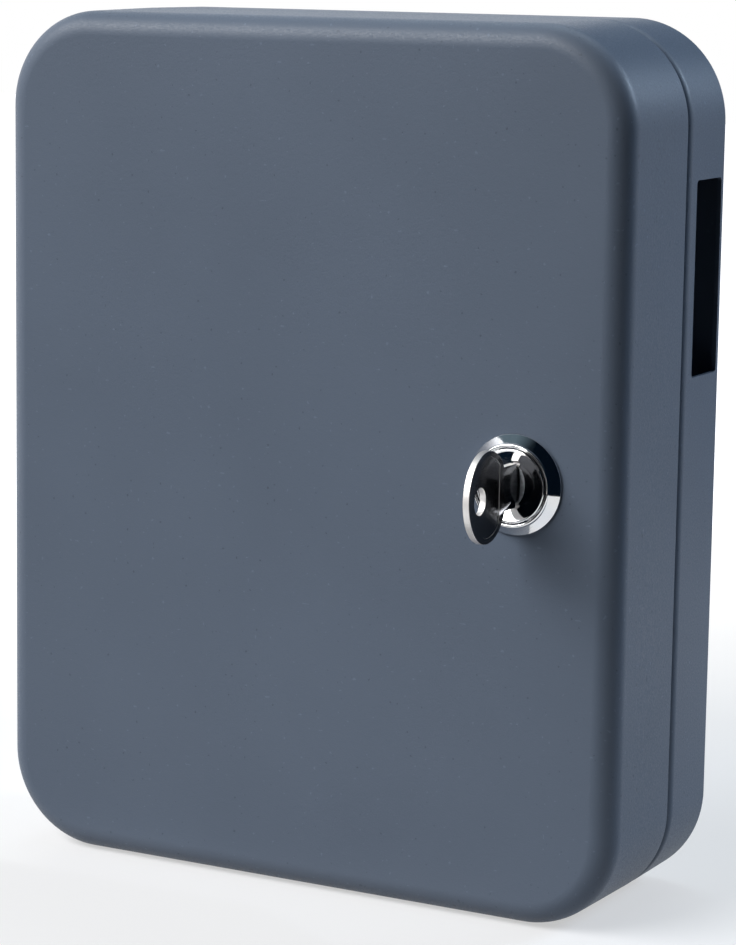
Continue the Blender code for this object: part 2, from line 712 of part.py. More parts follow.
# Cam: a strip cranked back to reach behind the flange, blanked to a round hub and a narrower tip
def lock_cam(turn):
    hub = CAM_HUB_DIAMETER / 2
    crank_end = CAM_CRANK_START + CAM_CRANK_RUN
    overrun = hub + OVERRUN
    path = [
        (-overrun, CAM_Y),
        (CAM_CRANK_START, CAM_Y),
        (crank_end, CAM_TIP_Y),
        (CAM_REACH + OVERRUN, CAM_TIP_Y),
    ]
    shape = bmesh.new()
    line = [shape.verts.new((-overrun, y, z)) for z, y in path]
    edges = [shape.edges.new(pair) for pair in zip(line, line[1:])]
    swept = bmesh.ops.extrude_edge_only(shape, edges=edges)
    moved = [item for item in swept["geom"] if isinstance(item, bmesh.types.BMVert)]
    bmesh.ops.translate(shape, verts=moved, vec=(2 * overrun, 0, 0))
    for face in shape.faces:
        face.normal_update()
        if face.normal.y > 0:
            face.normal_flip()
    piece = make("lock_cam", shape, zinc, turn)
    thicken(piece, CAM_SHEET, -1)

    blank = bmesh.new()
    tip = CAM_TIP_WIDTH / 2
    spread = math.degrees(math.acos((hub - tip) / (CAM_REACH - tip)))
    outline = bend((0, 0), hub, 90 + spread, 450 - spread, ROUND_STEPS // 2)
    outline += bend((0, CAM_REACH - tip), tip, 90 - spread, 90 + spread, ROUND_STEPS // 4)
    prism_along_y(blank, outline, CAM_Y - OVERRUN, CAM_TIP_Y + CAM_SHEET + OVERRUN)
    combine(piece, make("cam_blank_tool", blank, None, turn), "INTERSECT")

    square = bmesh.new()
    half = TAIL_SQUARE / 2 + FIT_GAP
    add_box(square, (-half, CAM_Y - OVERRUN, -half), (half, CAM_Y + CAM_SHEET + OVERRUN, half))
    combine(piece, make("cam_square_tool", square, None, turn))
    smooth(piece)


# Flat washer under the cam screw's head
def cam_washer(turn):
    start = CAM_Y + CAM_SHEET + FIT_GAP
    inner = CAM_WASHER_BORE / 2
    outer = CAM_WASHER_DIAMETER / 2
    end = start + CAM_WASHER_THICKNESS
    profile = [(inner, start), (outer, start), (outer, end), (inner, end)]
    smooth(make("cam_washer", turned(profile, SMALL_ROUND_STEPS), zinc, turn))


# Slotted screw that holds the cam on the plug's tail
def cam_screw(turn):
    seat = CAM_Y + CAM_SHEET + 2 * FIT_GAP + CAM_WASHER_THICKNESS
    head = CAM_SCREW_HEAD_DIAMETER / 2
    shank = CAM_SCREW_DIAMETER / 2
    profile = [
        (0, seat - CAM_SCREW_LENGTH),
        (shank, seat - CAM_SCREW_LENGTH),
        (shank, seat),
        (head, seat),
        (head, seat + CAM_SCREW_HEAD_HEIGHT - CAM_SCREW_HEAD_CHAMFER),
        (head - CAM_SCREW_HEAD_CHAMFER, seat + CAM_SCREW_HEAD_HEIGHT),
        (0, seat + CAM_SCREW_HEAD_HEIGHT),
    ]
    piece = make("cam_screw", turned(profile, SMALL_ROUND_STEPS), zinc, turn)
    slot = bmesh.new()
    top = seat + CAM_SCREW_HEAD_HEIGHT
    half = SCREW_SLOT_WIDTH / 2
    add_box(slot, (-head - OVERRUN, top - SCREW_SLOT_DEPTH, -half), (head + OVERRUN, top + OVERRUN, half))
    combine(piece, make("screw_slot_tool", slot, None, turn))
    smooth(piece)


# Key: stamped from plate, with a pressed panel in its round bow, a neck that stops in the dish and a
# blade cut on both sides
def key(pull):
    half_blade = KEY_BLADE_WIDTH / 2
    half_neck = KEY_NECK_WIDTH / 2
    neck_y = -LOCK_HEAD_HEIGHT + KEY_NECK_IN_DISH
    tip_y = KEY_BLADE_LENGTH
    first_cut_y = tip_y - KEY_TIP_LENGTH - KEY_CUT_PITCH

    def edge(shares):
        points = [(tip_y, KEY_TIP_WIDTH / 2), (tip_y - KEY_TIP_LENGTH, half_blade)]
        for k, share in enumerate(shares):
            middle = first_cut_y - k * KEY_CUT_PITCH
            points.append((middle, half_blade - KEY_CUT_DEPTH * share))
            points.append((middle - KEY_CUT_PITCH / 2, half_blade))
        return points + [(neck_y, half_blade), (neck_y, half_neck)]

    centre = (-KEY_BOW_FROM_DOOR, -KEY_BOW_DROP)
    reach = (KEY_BOW_LENGTH / 2, KEY_BOW_HEIGHT / 2)
    start = math.degrees(math.asin((half_neck + KEY_BOW_DROP) / reach[1]))
    end = 360 - math.degrees(math.asin((half_neck - KEY_BOW_DROP) / reach[1]))
    bow = oval(centre, reach, start, end, ROUND_STEPS)
    upper = edge(KEY_CUT_SHARES)
    lower = [(y, -z) for y, z in reversed(edge(KEY_CUT_SHARES[::-1]))]
    shape = bmesh.new()
    corners = [(-KEY_THICKNESS / 2, y, z) for y, z in upper + bow + lower]
    extrude_outline(shape, corners, (KEY_THICKNESS, 0, 0))
    piece = make("key", shape, nickel, pull)

    panels = bmesh.new()
    inner = (reach[0] - KEY_PANEL_INSET, reach[1] - KEY_PANEL_INSET)
    cut_off = math.degrees(math.acos((reach[0] - KEY_PANEL_FROM_BOW_END) / inner[0]))
    outline = oval(centre, inner, cut_off, 360 - cut_off, ROUND_STEPS)
    for side in (-1, 1):
        corners = [(side * (KEY_THICKNESS / 2 - KEY_PANEL_DEPTH), y, z) for y, z in outline]
        extrude_outline(panels, corners, (side * OVERRUN, 0, 0))
    combine(piece, make("key_panel_tool", panels, None, pull))

    hole = bmesh.new()
    hole_centre = (centre[0] - KEY_HOLE_FROM_BOW_CENTRE, centre[1] - KEY_HOLE_DROP)
    hole_reach = (KEY_HOLE_LENGTH / 2, KEY_HOLE_HEIGHT / 2)
    outline = oval(hole_centre, hole_reach, 0, 360, SMALL_ROUND_STEPS)[:-1]
    corners = [(-KEY_THICKNESS / 2 - OVERRUN, y, z) for y, z in outline]
    extrude_outline(hole, corners, (KEY_THICKNESS + 2 * OVERRUN, 0, 0))
    combine(piece, make("key_hole_tool", hole, None, pull))
    smooth(piece)


hinge_axis = axis_empty("door_hinge_axis", (HINGE_X, HINGE_Y, 0))
lock_axis = axis_empty("lock_axis", (LOCK_X - HINGE_X, FRONT_Y - HINGE_Y, 0), hinge_axis)
plug_turn = axis_empty("plug_turn_axis", (0, 0, 0), lock_axis)
key_pull = axis_empty("key_pull_axis", (0, 0, 0), plug_turn)

case_shell()
door_shell(hinge_axis)

even_knuckles = range(0, KNUCKLE_COUNT, 2)
odd_knuckles = range(1, KNUCKLE_COUNT, 2)
hinge_leaf("hinge_case_leaf", 1, even_knuckles, None, (HINGE_X, HINGE_Y, 0))
wall_lean = math.atan(DOOR_DRAFT / (DOOR_DEPTH - DOOR_FRONT_RADIUS))
hinge_leaf("hinge_door_leaf", -1, odd_knuckles, hinge_axis, (0, 0, 0), wall_lean)
hinge_pin()

for number, rail_z in enumerate(rail_heights(), 1):
    hook_rail(f"hook_rail_{number}", rail_z)
for number, (rivet_x, rivet_z) in enumerate(rivet_places()):
    side_name = ("left", "right")[number % 2]
    rail_rivet(f"rail_{number // 2 + 1}_rivet_{side_name}", rivet_x, rivet_z)

lock_housing(lock_axis)
lock_washer(lock_axis)
lock_nut(lock_axis)
lock_plug(plug_turn)
lock_cam(plug_turn)
cam_washer(plug_turn)
cam_screw(plug_turn)
key(key_pull)
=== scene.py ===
"""Looks of a blue-grey steel key cabinet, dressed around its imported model.

Metres. X runs to the viewer's right, Y into the wall, Z up.
The origin is the middle of the cabinet's flat back.
"""

import math

import bmesh
import bpy
from mathutils import Matrix, Vector


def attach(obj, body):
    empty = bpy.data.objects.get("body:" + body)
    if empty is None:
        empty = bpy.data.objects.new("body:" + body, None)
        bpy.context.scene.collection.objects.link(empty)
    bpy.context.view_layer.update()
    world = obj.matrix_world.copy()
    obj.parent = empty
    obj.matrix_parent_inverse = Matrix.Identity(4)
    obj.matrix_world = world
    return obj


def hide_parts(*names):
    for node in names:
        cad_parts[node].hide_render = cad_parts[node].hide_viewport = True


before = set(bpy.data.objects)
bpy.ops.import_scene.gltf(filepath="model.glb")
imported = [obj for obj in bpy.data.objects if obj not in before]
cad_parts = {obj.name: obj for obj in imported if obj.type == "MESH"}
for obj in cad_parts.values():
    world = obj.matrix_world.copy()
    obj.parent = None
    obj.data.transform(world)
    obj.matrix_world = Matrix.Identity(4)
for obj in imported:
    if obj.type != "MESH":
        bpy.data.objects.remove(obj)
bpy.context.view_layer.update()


# Case: the back half of the cabinet, a pan pressed from 1 mm steel with round corners.
# Its front edge is turned in to a flange that the door closes on. The key slot, the screw
# holes and the rivet holes are punched first, and then it is powder coated inside and out.
CABINET_WIDTH = 0.160
CABINET_HEIGHT = 0.200
CORNER_RADIUS = 0.0228
STEEL = 0.001
CASE_DEPTH = 0.0224
CASE_BACK_RADIUS = 0.0018
FLANGE_RADIUS = 0.003
FLANGE_WIDTH = 0.007
LIP_RADIUS = 0.00035
CORNER_STEPS = 24
BEND_STEPS = 10
LIP_STEPS = 4
KEY_SLOT = (0.0141, 0.0440)
KEY_SLOT_PLACE = (-0.00965, 0.0431)
KEY_SLOT_CORNER = 0.001
WALL_HOLE_RADIUS = 0.003
WALL_HOLES = ((-0.050, 0.057), (0.050, 0.057), (-0.050, -0.080), (0.050, -0.080))
PUNCHED_EDGE = 0.00015
PUNCH_OVERRUN = 0.0015
HOLE_STEPS = 48
SHADED_BEND = 32
COAT_COLOUR = (0.098, 0.123, 0.166)
COAT_SHINE = 0.25


def arc(centre, reach, start, end, steps):
    """Points along an oval arc between two angles in degrees; reach is its two radii."""
    points = []
    for step in range(steps + 1):
        angle = math.radians(start + (end - start) * step / steps)
        points.append((centre[0] + reach[0] * math.cos(angle), centre[1] + reach[1] * math.sin(angle)))
    return points


def bend(centre, radius, start, end, steps=BEND_STEPS):
    return arc(centre, (radius, radius), start, end, steps)


def circle(radius, steps, centre=(0, 0)):
    return bend(centre, radius, 0, 360, steps)[:-1]


def rounded_outline(width, height, radius, steps):
    """Outline of a rounded rectangle, corner by corner."""
    points = []
    for side_x, side_z, start in ((1, 1, 0), (-1, 1, 90), (-1, -1, 180), (1, -1, 270)):
        centre = (side_x * (width / 2 - radius), side_z * (height / 2 - radius))
        points += bend(centre, radius, start, start + 90, steps)
    return points


def solid(name, shape, place=(0, 0, 0), turn=0.0):
    """Makes an object of a bmesh, turned about Z and then moved, with both kept in its vertices."""
    mesh = bpy.data.meshes.new(name)
    shape.to_mesh(mesh)
    shape.free()
    mesh.transform(Matrix.Translation(place) @ Matrix.Rotation(turn, 4, "Z"))
    piece = bpy.data.objects.new(name, mesh)
    bpy.context.scene.collection.objects.link(piece)
    return piece


def pressed_pan(name, section):
    """A pan of even thickness; its section of (inset, y) points runs from outside round the lip."""
    shape = bmesh.new()
    rings = []
    for inset, y in section:
        width, height = CABINET_WIDTH - 2 * inset, CABINET_HEIGHT - 2 * inset
        outline = rounded_outline(width, height, CORNER_RADIUS - inset, CORNER_STEPS)
        rings.append([shape.verts.new((x, y, z)) for x, z in outline])
    shape.faces.new(rings[0])
    shape.faces.new(rings[-1])
    for near, far in zip(rings, rings[1:]):
        for k in range(len(near)):
            after = (k + 1) % len(near)
            shape.faces.new((near[k], near[after], far[after], far[k]))
    bmesh.ops.recalc_face_normals(shape, faces=shape.faces)
    return solid(name, shape)


def swept(shape, corners, sweep):
    """Adds a closed prism: an outline of corners swept along a vector."""
    face = shape.faces.new([shape.verts.new(corner) for corner in corners])
    made = bmesh.ops.extrude_face_region(shape, geom=[face])["geom"]
    moved = [item for item in made if isinstance(item, bmesh.types.BMVert)]
    bmesh.ops.translate(shape, verts=moved, vec=sweep)
    bmesh.ops.recalc_face_normals(shape, faces=shape.faces)


def punch(shape, outline, start, end):
    """Adds a prism through the sheet along Y."""
    swept(shape, [(x, start, z) for x, z in outline], (0, end - start, 0))


def block(shape, low, high):
    outline = ((low[0], low[2]), (high[0], low[2]), (high[0], high[2]), (low[0], high[2]))
    punch(shape, outline, low[1], high[1])


def keep_shape(piece):
    """Settles a piece's modifiers into its mesh."""
    graph = bpy.context.evaluated_depsgraph_get()
    made = bpy.data.meshes.new_from_object(piece.evaluated_get(graph))
    piece.modifiers.clear()
    piece.data = made


def cut(piece, tool, operation="DIFFERENCE"):
    """Cuts, joins or keeps a piece by a tool shape, which is then thrown away."""
    step = piece.modifiers.new("cut", "BOOLEAN")
    step.operation = operation
    step.solver = "EXACT"
    step.object = tool
    keep_shape(piece)
    bpy.data.objects.remove(tool)


def soften(piece, width, steps=2, over=40):
    """Rounds the sharp edges, as shearing, tumbling and coating leave them."""
    edges = piece.modifiers.new("soft_edges", "BEVEL")
    edges.limit_method = "ANGLE"
    edges.angle_limit = math.radians(over)
    edges.width = width
    edges.segments = steps
    edges.use_clamp_overlap = True
    keep_shape(piece)


def fit(piece, finish, slot, body, *nodes):
    """Gives a shaped piece its finish and smooth bends, and puts it on its body for its CAD nodes."""
    piece.data.materials.clear()
    piece.data.materials.append(finish)
    piece.data.shade_smooth()
    piece.data.set_sharp_from_angle(angle=math.radians(SHADED_BEND))
    shading = piece.modifiers.new("flat_faces", "WEIGHTED_NORMAL")
    shading.keep_sharp = True
    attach(piece, body)
    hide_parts(*nodes)


def new_finish(name, colour, metallic, roughness):
    """A plain shader to build a finish on."""
    finish = bpy.data.materials.new(name)
    finish.use_nodes = True
    shader = finish.node_tree.nodes["Principled BSDF"]
    shader.inputs["Base Color"].default_value = (*colour, 1)
    shader.inputs["Metallic"].default_value = metallic
    shader.inputs["Roughness"].default_value = roughness
    return finish


def grain(finish, size, stretch=(1, 1, 1), detail=2.0):
    """Noise with features of one size in metres, drawn out along any axis whose stretch is over 1."""
    nodes, links = finish.node_tree.nodes, finish.node_tree.links
    place = nodes.new("ShaderNodeTexCoord")
    mapping = nodes.new("ShaderNodeMapping")
    mapping.inputs["Scale"].default_value = [1 / (size * along) for along in stretch]
    noise = nodes.new("ShaderNodeTexNoise")
    noise.inputs["Scale"].default_value = 1.0
    noise.inputs["Detail"].default_value = detail
    links.new(place.outputs["Object"], mapping.inputs["Vector"])
    links.new(mapping.outputs["Vector"], noise.inputs["Vector"])
    return noise.outputs["Fac"]


def spread(finish, source, low, high, start=0.3, end=0.7):
    """Maps a texture from its middle range to a range of values."""
    node = finish.node_tree.nodes.new("ShaderNodeMapRange")
    node.inputs["From Min"].default_value = start
    node.inputs["From Max"].default_value = end
    node.inputs["To Min"].default_value = low
    node.inputs["To Max"].default_value = high
    finish.node_tree.links.new(source, node.inputs["Value"])
    return node.outputs["Result"]


def tint(finish, source, low, high, start=0.3, end=0.7):
    """Maps a texture to a blend of two colours."""
    node = finish.node_tree.nodes.new("ShaderNodeValToRGB")
    node.color_ramp.elements[0].position = start
    node.color_ramp.elements[0].color = (*low, 1)
    node.color_ramp.elements[1].position = end
    node.color_ramp.elements[1].color = (*high, 1)
    finish.node_tree.links.new(source, node.inputs["Fac"])
    return node.outputs["Color"]


def scaled(colour, level):
    return tuple(part * level for part in colour)


def mixed(finish, first, second, kind="MULTIPLY"):
    """Lays one texture colour over another."""
    node = finish.node_tree.nodes.new("ShaderNodeMix")
    node.data_type = "RGBA"
    node.blend_type = kind
    node.inputs["Factor"].default_value = 1.0
    finish.node_tree.links.new(first, node.inputs[6])
    finish.node_tree.links.new(second, node.inputs[7])
    return node.outputs[2]


def relief(finish, source, height, below=None):
    """Raises a texture as fine relief, over another relief where one is given."""
    node = finish.node_tree.nodes.new("ShaderNodeBump")
    node.inputs["Strength"].default_value = 1.0
    node.inputs["Distance"].default_value = height
    finish.node_tree.links.new(source, node.inputs["Height"])
    if below is not None:
        finish.node_tree.links.new(below, node.inputs["Normal"])
    return node.outputs["Normal"]


def connect(finish, **sources):
    """Joins textures to the shader's sockets; a socket's spaces are written as underscores."""
    shader = finish.node_tree.nodes["Principled BSDF"]
    for socket, source in sources.items():
        finish.node_tree.links.new(source, shader.inputs[socket.replace("_", " ")])


def powder_coat_finish():
    """Satin powder coat: fine orange peel, faint clouds in its tone, a few pale and dark specks."""
    finish = new_finish("grey_powder_coat", COAT_COLOUR, 0.0, 0.42)
    finish.node_tree.nodes["Principled BSDF"].inputs["Specular IOR Level"].default_value = COAT_SHINE
    clouds = tint(finish, grain(finish, 0.045), scaled(COAT_COLOUR, 0.965), scaled(COAT_COLOUR, 1.035))
    pale = tint(finish, grain(finish, 0.0010, detail=0.0), (1.0,) * 3, (1.24,) * 3, 0.79, 0.83)
    dark = tint(finish, grain(finish, 0.0009, detail=0.0), (0.74,) * 3, (1.0,) * 3, 0.17, 0.21)
    specks = mixed(finish, pale, dark)
    peel = grain(finish, 0.00085, detail=1.0)
    dust = grain(finish, 0.0004, detail=1.0)
    gloss = spread(finish, grain(finish, 0.0004), 0.34, 0.60)
    normal = relief(finish, dust, 0.000024, relief(finish, peel, 0.000024))
    connect(finish, Base_Color=mixed(finish, clouds, specks), Roughness=gloss, Normal=normal)
    return finish


def case_section():
    outer = bend((CASE_BACK_RADIUS, -CASE_BACK_RADIUS), CASE_BACK_RADIUS, 90, 180)
    outer += bend((FLANGE_RADIUS, FLANGE_RADIUS - CASE_DEPTH), FLANGE_RADIUS, 180, 270)
    front_middle = (FLANGE_WIDTH - LIP_RADIUS, LIP_RADIUS - CASE_DEPTH)
    front_lip = bend(front_middle, LIP_RADIUS, 270, 360, LIP_STEPS)
    back_middle = (FLANGE_WIDTH - LIP_RADIUS, STEEL - CASE_DEPTH - LIP_RADIUS)
    back_lip = bend(back_middle, LIP_RADIUS, 0, 90, LIP_STEPS)
    inner = bend((FLANGE_RADIUS, FLANGE_RADIUS - CASE_DEPTH), FLANGE_RADIUS - STEEL, 270, 180)
    inner += bend((CASE_BACK_RADIUS, -CASE_BACK_RADIUS), CASE_BACK_RADIUS - STEEL, 180, 90)
    return outer + front_lip + back_lip + inner


powder_coat = powder_coat_finish()
case_pan = pressed_pan("case_pan", case_section())

slot_punch = bmesh.new()
wall_x = CABINET_WIDTH / 2 - STEEL - PUNCH_OVERRUN
slot_outline = rounded_outline(*KEY_SLOT, KEY_SLOT_CORNER, BEND_STEPS)
slot_y, slot_z = KEY_SLOT_PLACE
slot_corners = [(wall_x, slot_y + across, slot_z + up) for across, up in slot_outline]
swept(slot_punch, slot_corners, (STEEL + 2 * PUNCH_OVERRUN, 0, 0))
cut(case_pan, solid("slot_punch", slot_punch))

hole_punch = bmesh.new()
for hole in WALL_HOLES:
    outline = circle(WALL_HOLE_RADIUS, HOLE_STEPS, hole)
    punch(hole_punch, outline, -STEEL - PUNCH_OVERRUN, PUNCH_OVERRUN)
cut(case_pan, solid("hole_punch", hole_punch))


# Hook rails: four strips of zinc-plated steel, each with five hooks lanced out of it and
# turned up to carry key rings. Countersunk rivets through the case's back hold each at its ends.
RAIL_LENGTH = 0.130
RAIL_HEIGHT = 0.020
RAIL_STEEL = 0.001
RAIL_HEIGHTS = (0.076, 0.038, 0.0, -0.038)
RAIL_MIDDLE_Y = -0.0018
RAIL_CORNER = 0.003
HOOK_PLACES = (-0.048, -0.024, 0.0, 0.024, 0.048)
HOOK_WIDTH = 0.0052
HOOK_TIP = 0.0016
HOOK_REACH = 0.0090
HOOK_RISE = 0.0056
HOOK_BEND = 0.0015
HOOK_BEND_STEPS = 6
WINDOW_SIDE_GAP = 0.0006
WINDOW_HEIGHT = 0.0150
SHEARED_EDGE = 0.00012
SHEARED_CORNER_STEPS = 8
RIVET_X = 0.059
RIVET_RADIUS = 0.0015
RIVET_HEAD = (0.0029, 0.0011)
RIVET_TAIL_RADIUS = 0.0023
RIVET_TAIL_SETBACK = 0.0001
RIVET_CLEARANCE = 0.0003
RIVET_STEPS = 40


def zinc_finish(name, along):
    """Bright zinc plate: rolling lines along the strip, soft spangle, a faint blue and straw tinge."""
    finish = new_finish(name, (0.62, 0.63, 0.62), 1.0, 0.32)
    tinge = tint(finish, grain(finish, 0.009), (0.60, 0.63, 0.66), (0.66, 0.64, 0.57))
    lines = grain(finish, 0.00022, stretch=along)
    streaks = tint(finish, lines, (0.90,) * 3, (1.05,) * 3)
    gloss = spread(finish, grain(finish, 0.0016), 0.24, 0.40)
    normal = relief(finish, lines, 0.000002)
    connect(finish, Base_Color=mixed(finish, tinge, streaks), Roughness=gloss, Normal=normal)
    return finish


def spun(name, profile, steps, place=(0, 0, 0), reshape=None):
    """Turns an outline of (radius, y) points about the Y axis into a closed round piece.
    reshape(radius, y, angle) gives a point its own radius, for threads."""
    shape = bmesh.new()
    rings = []
    for radius, y in profile:
        if radius == 0:
            rings.append([shape.verts.new((0, y, 0))])
            continue
        ring = []
        for step in range(steps):
            angle = 2 * math.pi * step / steps
            reach = reshape(radius, y, angle) if reshape else radius
            ring.append(shape.verts.new((reach * math.cos(angle), y, reach * math.sin(angle))))
        rings.append(ring)
    pairs = list(zip(rings, rings[1:]))
    if profile[0][0] > 0:
        pairs.append((rings[-1], rings[0]))
    for near, far in pairs:
        for k in range(steps):
            corners = (near[k % len(near)], near[(k + 1) % steps % len(near)])
            corners += (far[(k + 1) % steps % len(far)], far[k % len(far)])
            shape.faces.new(list(dict.fromkeys(corners)))
    bmesh.ops.recalc_face_normals(shape, faces=shape.faces)
    return solid(name, shape, place)


def hook_rail(name, height):
    """A flat strip with windows, and in each a tongue that bends out and up to a rounded tip."""
    half_hook = HOOK_WIDTH / 2
    half_window = half_hook + WINDOW_SIDE_GAP
    columns = [-RAIL_LENGTH / 2]
    for x in HOOK_PLACES:
        columns += [x - half_window, x - half_hook, x + half_hook, x + half_window]
    columns.append(RAIL_LENGTH / 2)
    sill = -WINDOW_HEIGHT / 2
    rows = (-RAIL_HEIGHT / 2, sill, sill + WINDOW_HEIGHT, RAIL_HEIGHT / 2)
    shape = bmesh.new()
    grid = [[shape.verts.new((x, 0, z)) for x in columns] for z in rows]
    for row in range(len(rows) - 1):
        for column in range(len(columns) - 1):
            if row == 1 and column % 4 != 0:
                continue
            low, high = grid[row], grid[row + 1]
            shape.faces.new((low[column], low[column + 1], high[column + 1], high[column]))

    path = bend((-HOOK_BEND, sill), HOOK_BEND, 0, 90, HOOK_BEND_STEPS)[1:]
    path += bend((-HOOK_REACH + HOOK_BEND, sill + 2 * HOOK_BEND), HOOK_BEND, 270, 180, HOOK_BEND_STEPS)
    path.append((-HOOK_REACH, sill + HOOK_BEND + HOOK_RISE))
    tips = []
    for k, x in enumerate(HOOK_PLACES):
        left, right = grid[1][4 * k + 2], grid[1][4 * k + 3]
        for y, z in path:
            new_left = shape.verts.new((x - half_hook, y, z))
            new_right = shape.verts.new((x + half_hook, y, z))
            shape.faces.new((left, right, new_right, new_left))
            left, right = new_left, new_right
        tips += [left, right]
    ends = [row[column] for row in (grid[0], grid[-1]) for column in (0, -1)]
    for corners, size in ((tips, HOOK_TIP), (ends, RAIL_CORNER)):
        rounding = {"offset": size, "segments": SHEARED_CORNER_STEPS, "profile": 0.5}
        bmesh.ops.bevel(shape, geom=corners, affect="VERTICES", **rounding)
    bmesh.ops.recalc_face_normals(shape, faces=shape.faces)
    rail = solid(name, shape, (0, RAIL_MIDDLE_Y, height))
    sheet = rail.modifiers.new("sheet", "SOLIDIFY")
    sheet.thickness = RAIL_STEEL
    sheet.offset = 0
    sheet.use_even_offset = True
    keep_shape(rail)

    holes = bmesh.new()
    for side in (-1, 1):
        outline = circle(RIVET_RADIUS + RIVET_CLEARANCE, RIVET_STEPS, (side * RIVET_X, height))
        punch(holes, outline, RAIL_MIDDLE_Y - PUNCH_OVERRUN, RAIL_MIDDLE_Y + PUNCH_OVERRUN)
    cut(rail, solid("rail_punch", holes))
    soften(rail, SHEARED_EDGE)
    return rail


def rail_rivet(name, x, z):
    """A rivet set from inside: domed head on the rail, its tail spread flush in the case's back."""
    under_head = RAIL_MIDDLE_Y - RAIL_STEEL / 2 - RIVET_CLEARANCE
    profile = arc((0, under_head), (RIVET_HEAD[0], -RIVET_HEAD[1]), 90, 0, BEND_STEPS)
    profile += [
        (RIVET_RADIUS, under_head),
        (RIVET_RADIUS, -STEEL / 2),
        (RIVET_TAIL_RADIUS, -RIVET_TAIL_SETBACK),
        (0, -RIVET_TAIL_SETBACK),
    ]
    return spun(name, profile, RIVET_STEPS, (x, 0, z))


def countersink(x, z):
    shank = RIVET_RADIUS + RIVET_CLEARANCE
    mouth = RIVET_TAIL_RADIUS + RIVET_CLEARANCE
    profile = [(0, -STEEL - PUNCH_OVERRUN), (shank, -STEEL - PUNCH_OVERRUN), (shank, -STEEL / 2)]
    profile += [(mouth, 0), (mouth, PUNCH_OVERRUN), (0, PUNCH_OVERRUN)]
    return spun("countersink", profile, RIVET_STEPS, (x, 0, z))


rail_zinc = zinc_finish("zinc_plated_rail", (60, 60, 1))
rivet_zinc = zinc_finish("zinc_plated_rivet", (1, 1, 1))
for number, rail_z in enumerate(RAIL_HEIGHTS, 1):
    rail = hook_rail(f"key_rail_{number}", rail_z)
    fit(rail, rail_zinc, "zinc_plate", "case", f"hook_rail_{number}")
    for side, side_name in ((-1, "left"), (1, "right")):
        rivet = rail_rivet(f"rivet_{number}_{side_name}", side * RIVET_X, rail_z)
        fit(rivet, rivet_zinc, "zinc_plate", "case", f"rail_{number}_rivet_{side_name}")
        cut(case_pan, countersink(side * RIVET_X, rail_z))


# Pin hinge: two zinc-plated leaves on the cabinet's left edge, spot welded inside the case
# and inside the door. Their edges are rolled round a steel pin and notched into knuckles.
HINGE_PLACE = (-0.0802, -0.02255, 0)
HINGE_LENGTH = 0.146
HINGE_STEEL = 0.00079
HINGE_LEAF_WIDTH = 0.0125
HINGE_PIN_RADIUS = 0.0012
HINGE_PIN_HEAD = (0.0019, 0.0008)
HINGE_CLEARANCE = 0.0003
HINGE_ROLL = 290
HINGE_ROLL_STEPS = 48
HINGE_PIN_STEPS = 36
KNUCKLES = 11
HINGE_RELIEF_LENGTH = 0.1488
EYE_BORE = HINGE_PIN_RADIUS + HINGE_CLEARANCE
EYE_RADIUS = EYE_BORE + HINGE_STEEL
WELD_PLACES = (-0.060, -0.036, -0.012, 0.012, 0.036, 0.060)
WELD_RADIUS = 0.0016
WELD_DEPTH = 0.00018
WELD_FROM_AXIS = 0.0085
WELD_STEPS = 24
WELD_DISH_STEPS = 5
PIN_HEAD_STEPS = 8


def hinge_leaf(name, side, knuckles, lean):
    """side is 1 for the leaf that runs back into the case, -1 for the one that runs into the door."""
    outer = bend((0, 0), EYE_RADIUS, 0, -side * HINGE_ROLL, HINGE_ROLL_STEPS)
    inner = bend((0, 0), EYE_BORE, -side * HINGE_ROLL, 0, HINGE_ROLL_STEPS)
    edge_y = side * HINGE_LEAF_WIDTH
    section = [(EYE_RADIUS, edge_y)] + outer + inner + [(EYE_BORE, edge_y)]
    shape = bmesh.new()
    swept(shape, [(x, y, -HINGE_LENGTH / 2) for x, y in section], (0, 0, HINGE_LENGTH))
    leaf = solid(name, shape, HINGE_PLACE, lean)

    notches = bmesh.new()
    reach = EYE_RADIUS + HINGE_CLEARANCE
    length = HINGE_LENGTH / KNUCKLES
    for k in range(KNUCKLES):
        if k in knuckles:
            continue
        low = -HINGE_LENGTH / 2 + k * length - HINGE_CLEARANCE / 2
        over = EYE_RADIUS + PUNCH_OVERRUN
        block(notches, (-over, -reach, low), (over, reach, low + length + HINGE_CLEARANCE))
    cut(leaf, solid("notches", notches, HINGE_PLACE, lean))

    welds = bmesh.new()
    for z in WELD_PLACES:
        profile = [(0, WELD_RADIUS), (WELD_RADIUS, WELD_RADIUS), (WELD_RADIUS, 0)]
        profile += arc((0, 0), (WELD_RADIUS, -WELD_DEPTH), 0, 90, WELD_DISH_STEPS)
        dish = spun("weld_dish", profile, WELD_STEPS)
        dish.data.transform(Matrix.Rotation(-math.pi / 2, 4, "Z"))
        dish.data.transform(Matrix.Translation((EYE_RADIUS, side * WELD_FROM_AXIS, z)))
        welds.from_mesh(dish.data)
        bpy.data.objects.remove(dish)
    cut(leaf, solid("weld_dishes", welds, HINGE_PLACE, lean))
    soften(leaf, SHEARED_EDGE / 2)
    return leaf


def hinge_pin():
    end = HINGE_LENGTH / 2 + HINGE_CLEARANCE
    low_head = arc((0, -end), (HINGE_PIN_HEAD[0], -HINGE_PIN_HEAD[1]), 90, 0, PIN_HEAD_STEPS)
    profile = low_head + [(HINGE_PIN_RADIUS, -end)]
    profile += [(radius, -y) for radius, y in reversed(profile)]
    pin = spun("steel_pin", profile, HINGE_PIN_STEPS)
    pin.data.transform(Matrix.Translation(HINGE_PLACE) @ Matrix.Rotation(math.pi / 2, 4, "X"))
    return pin


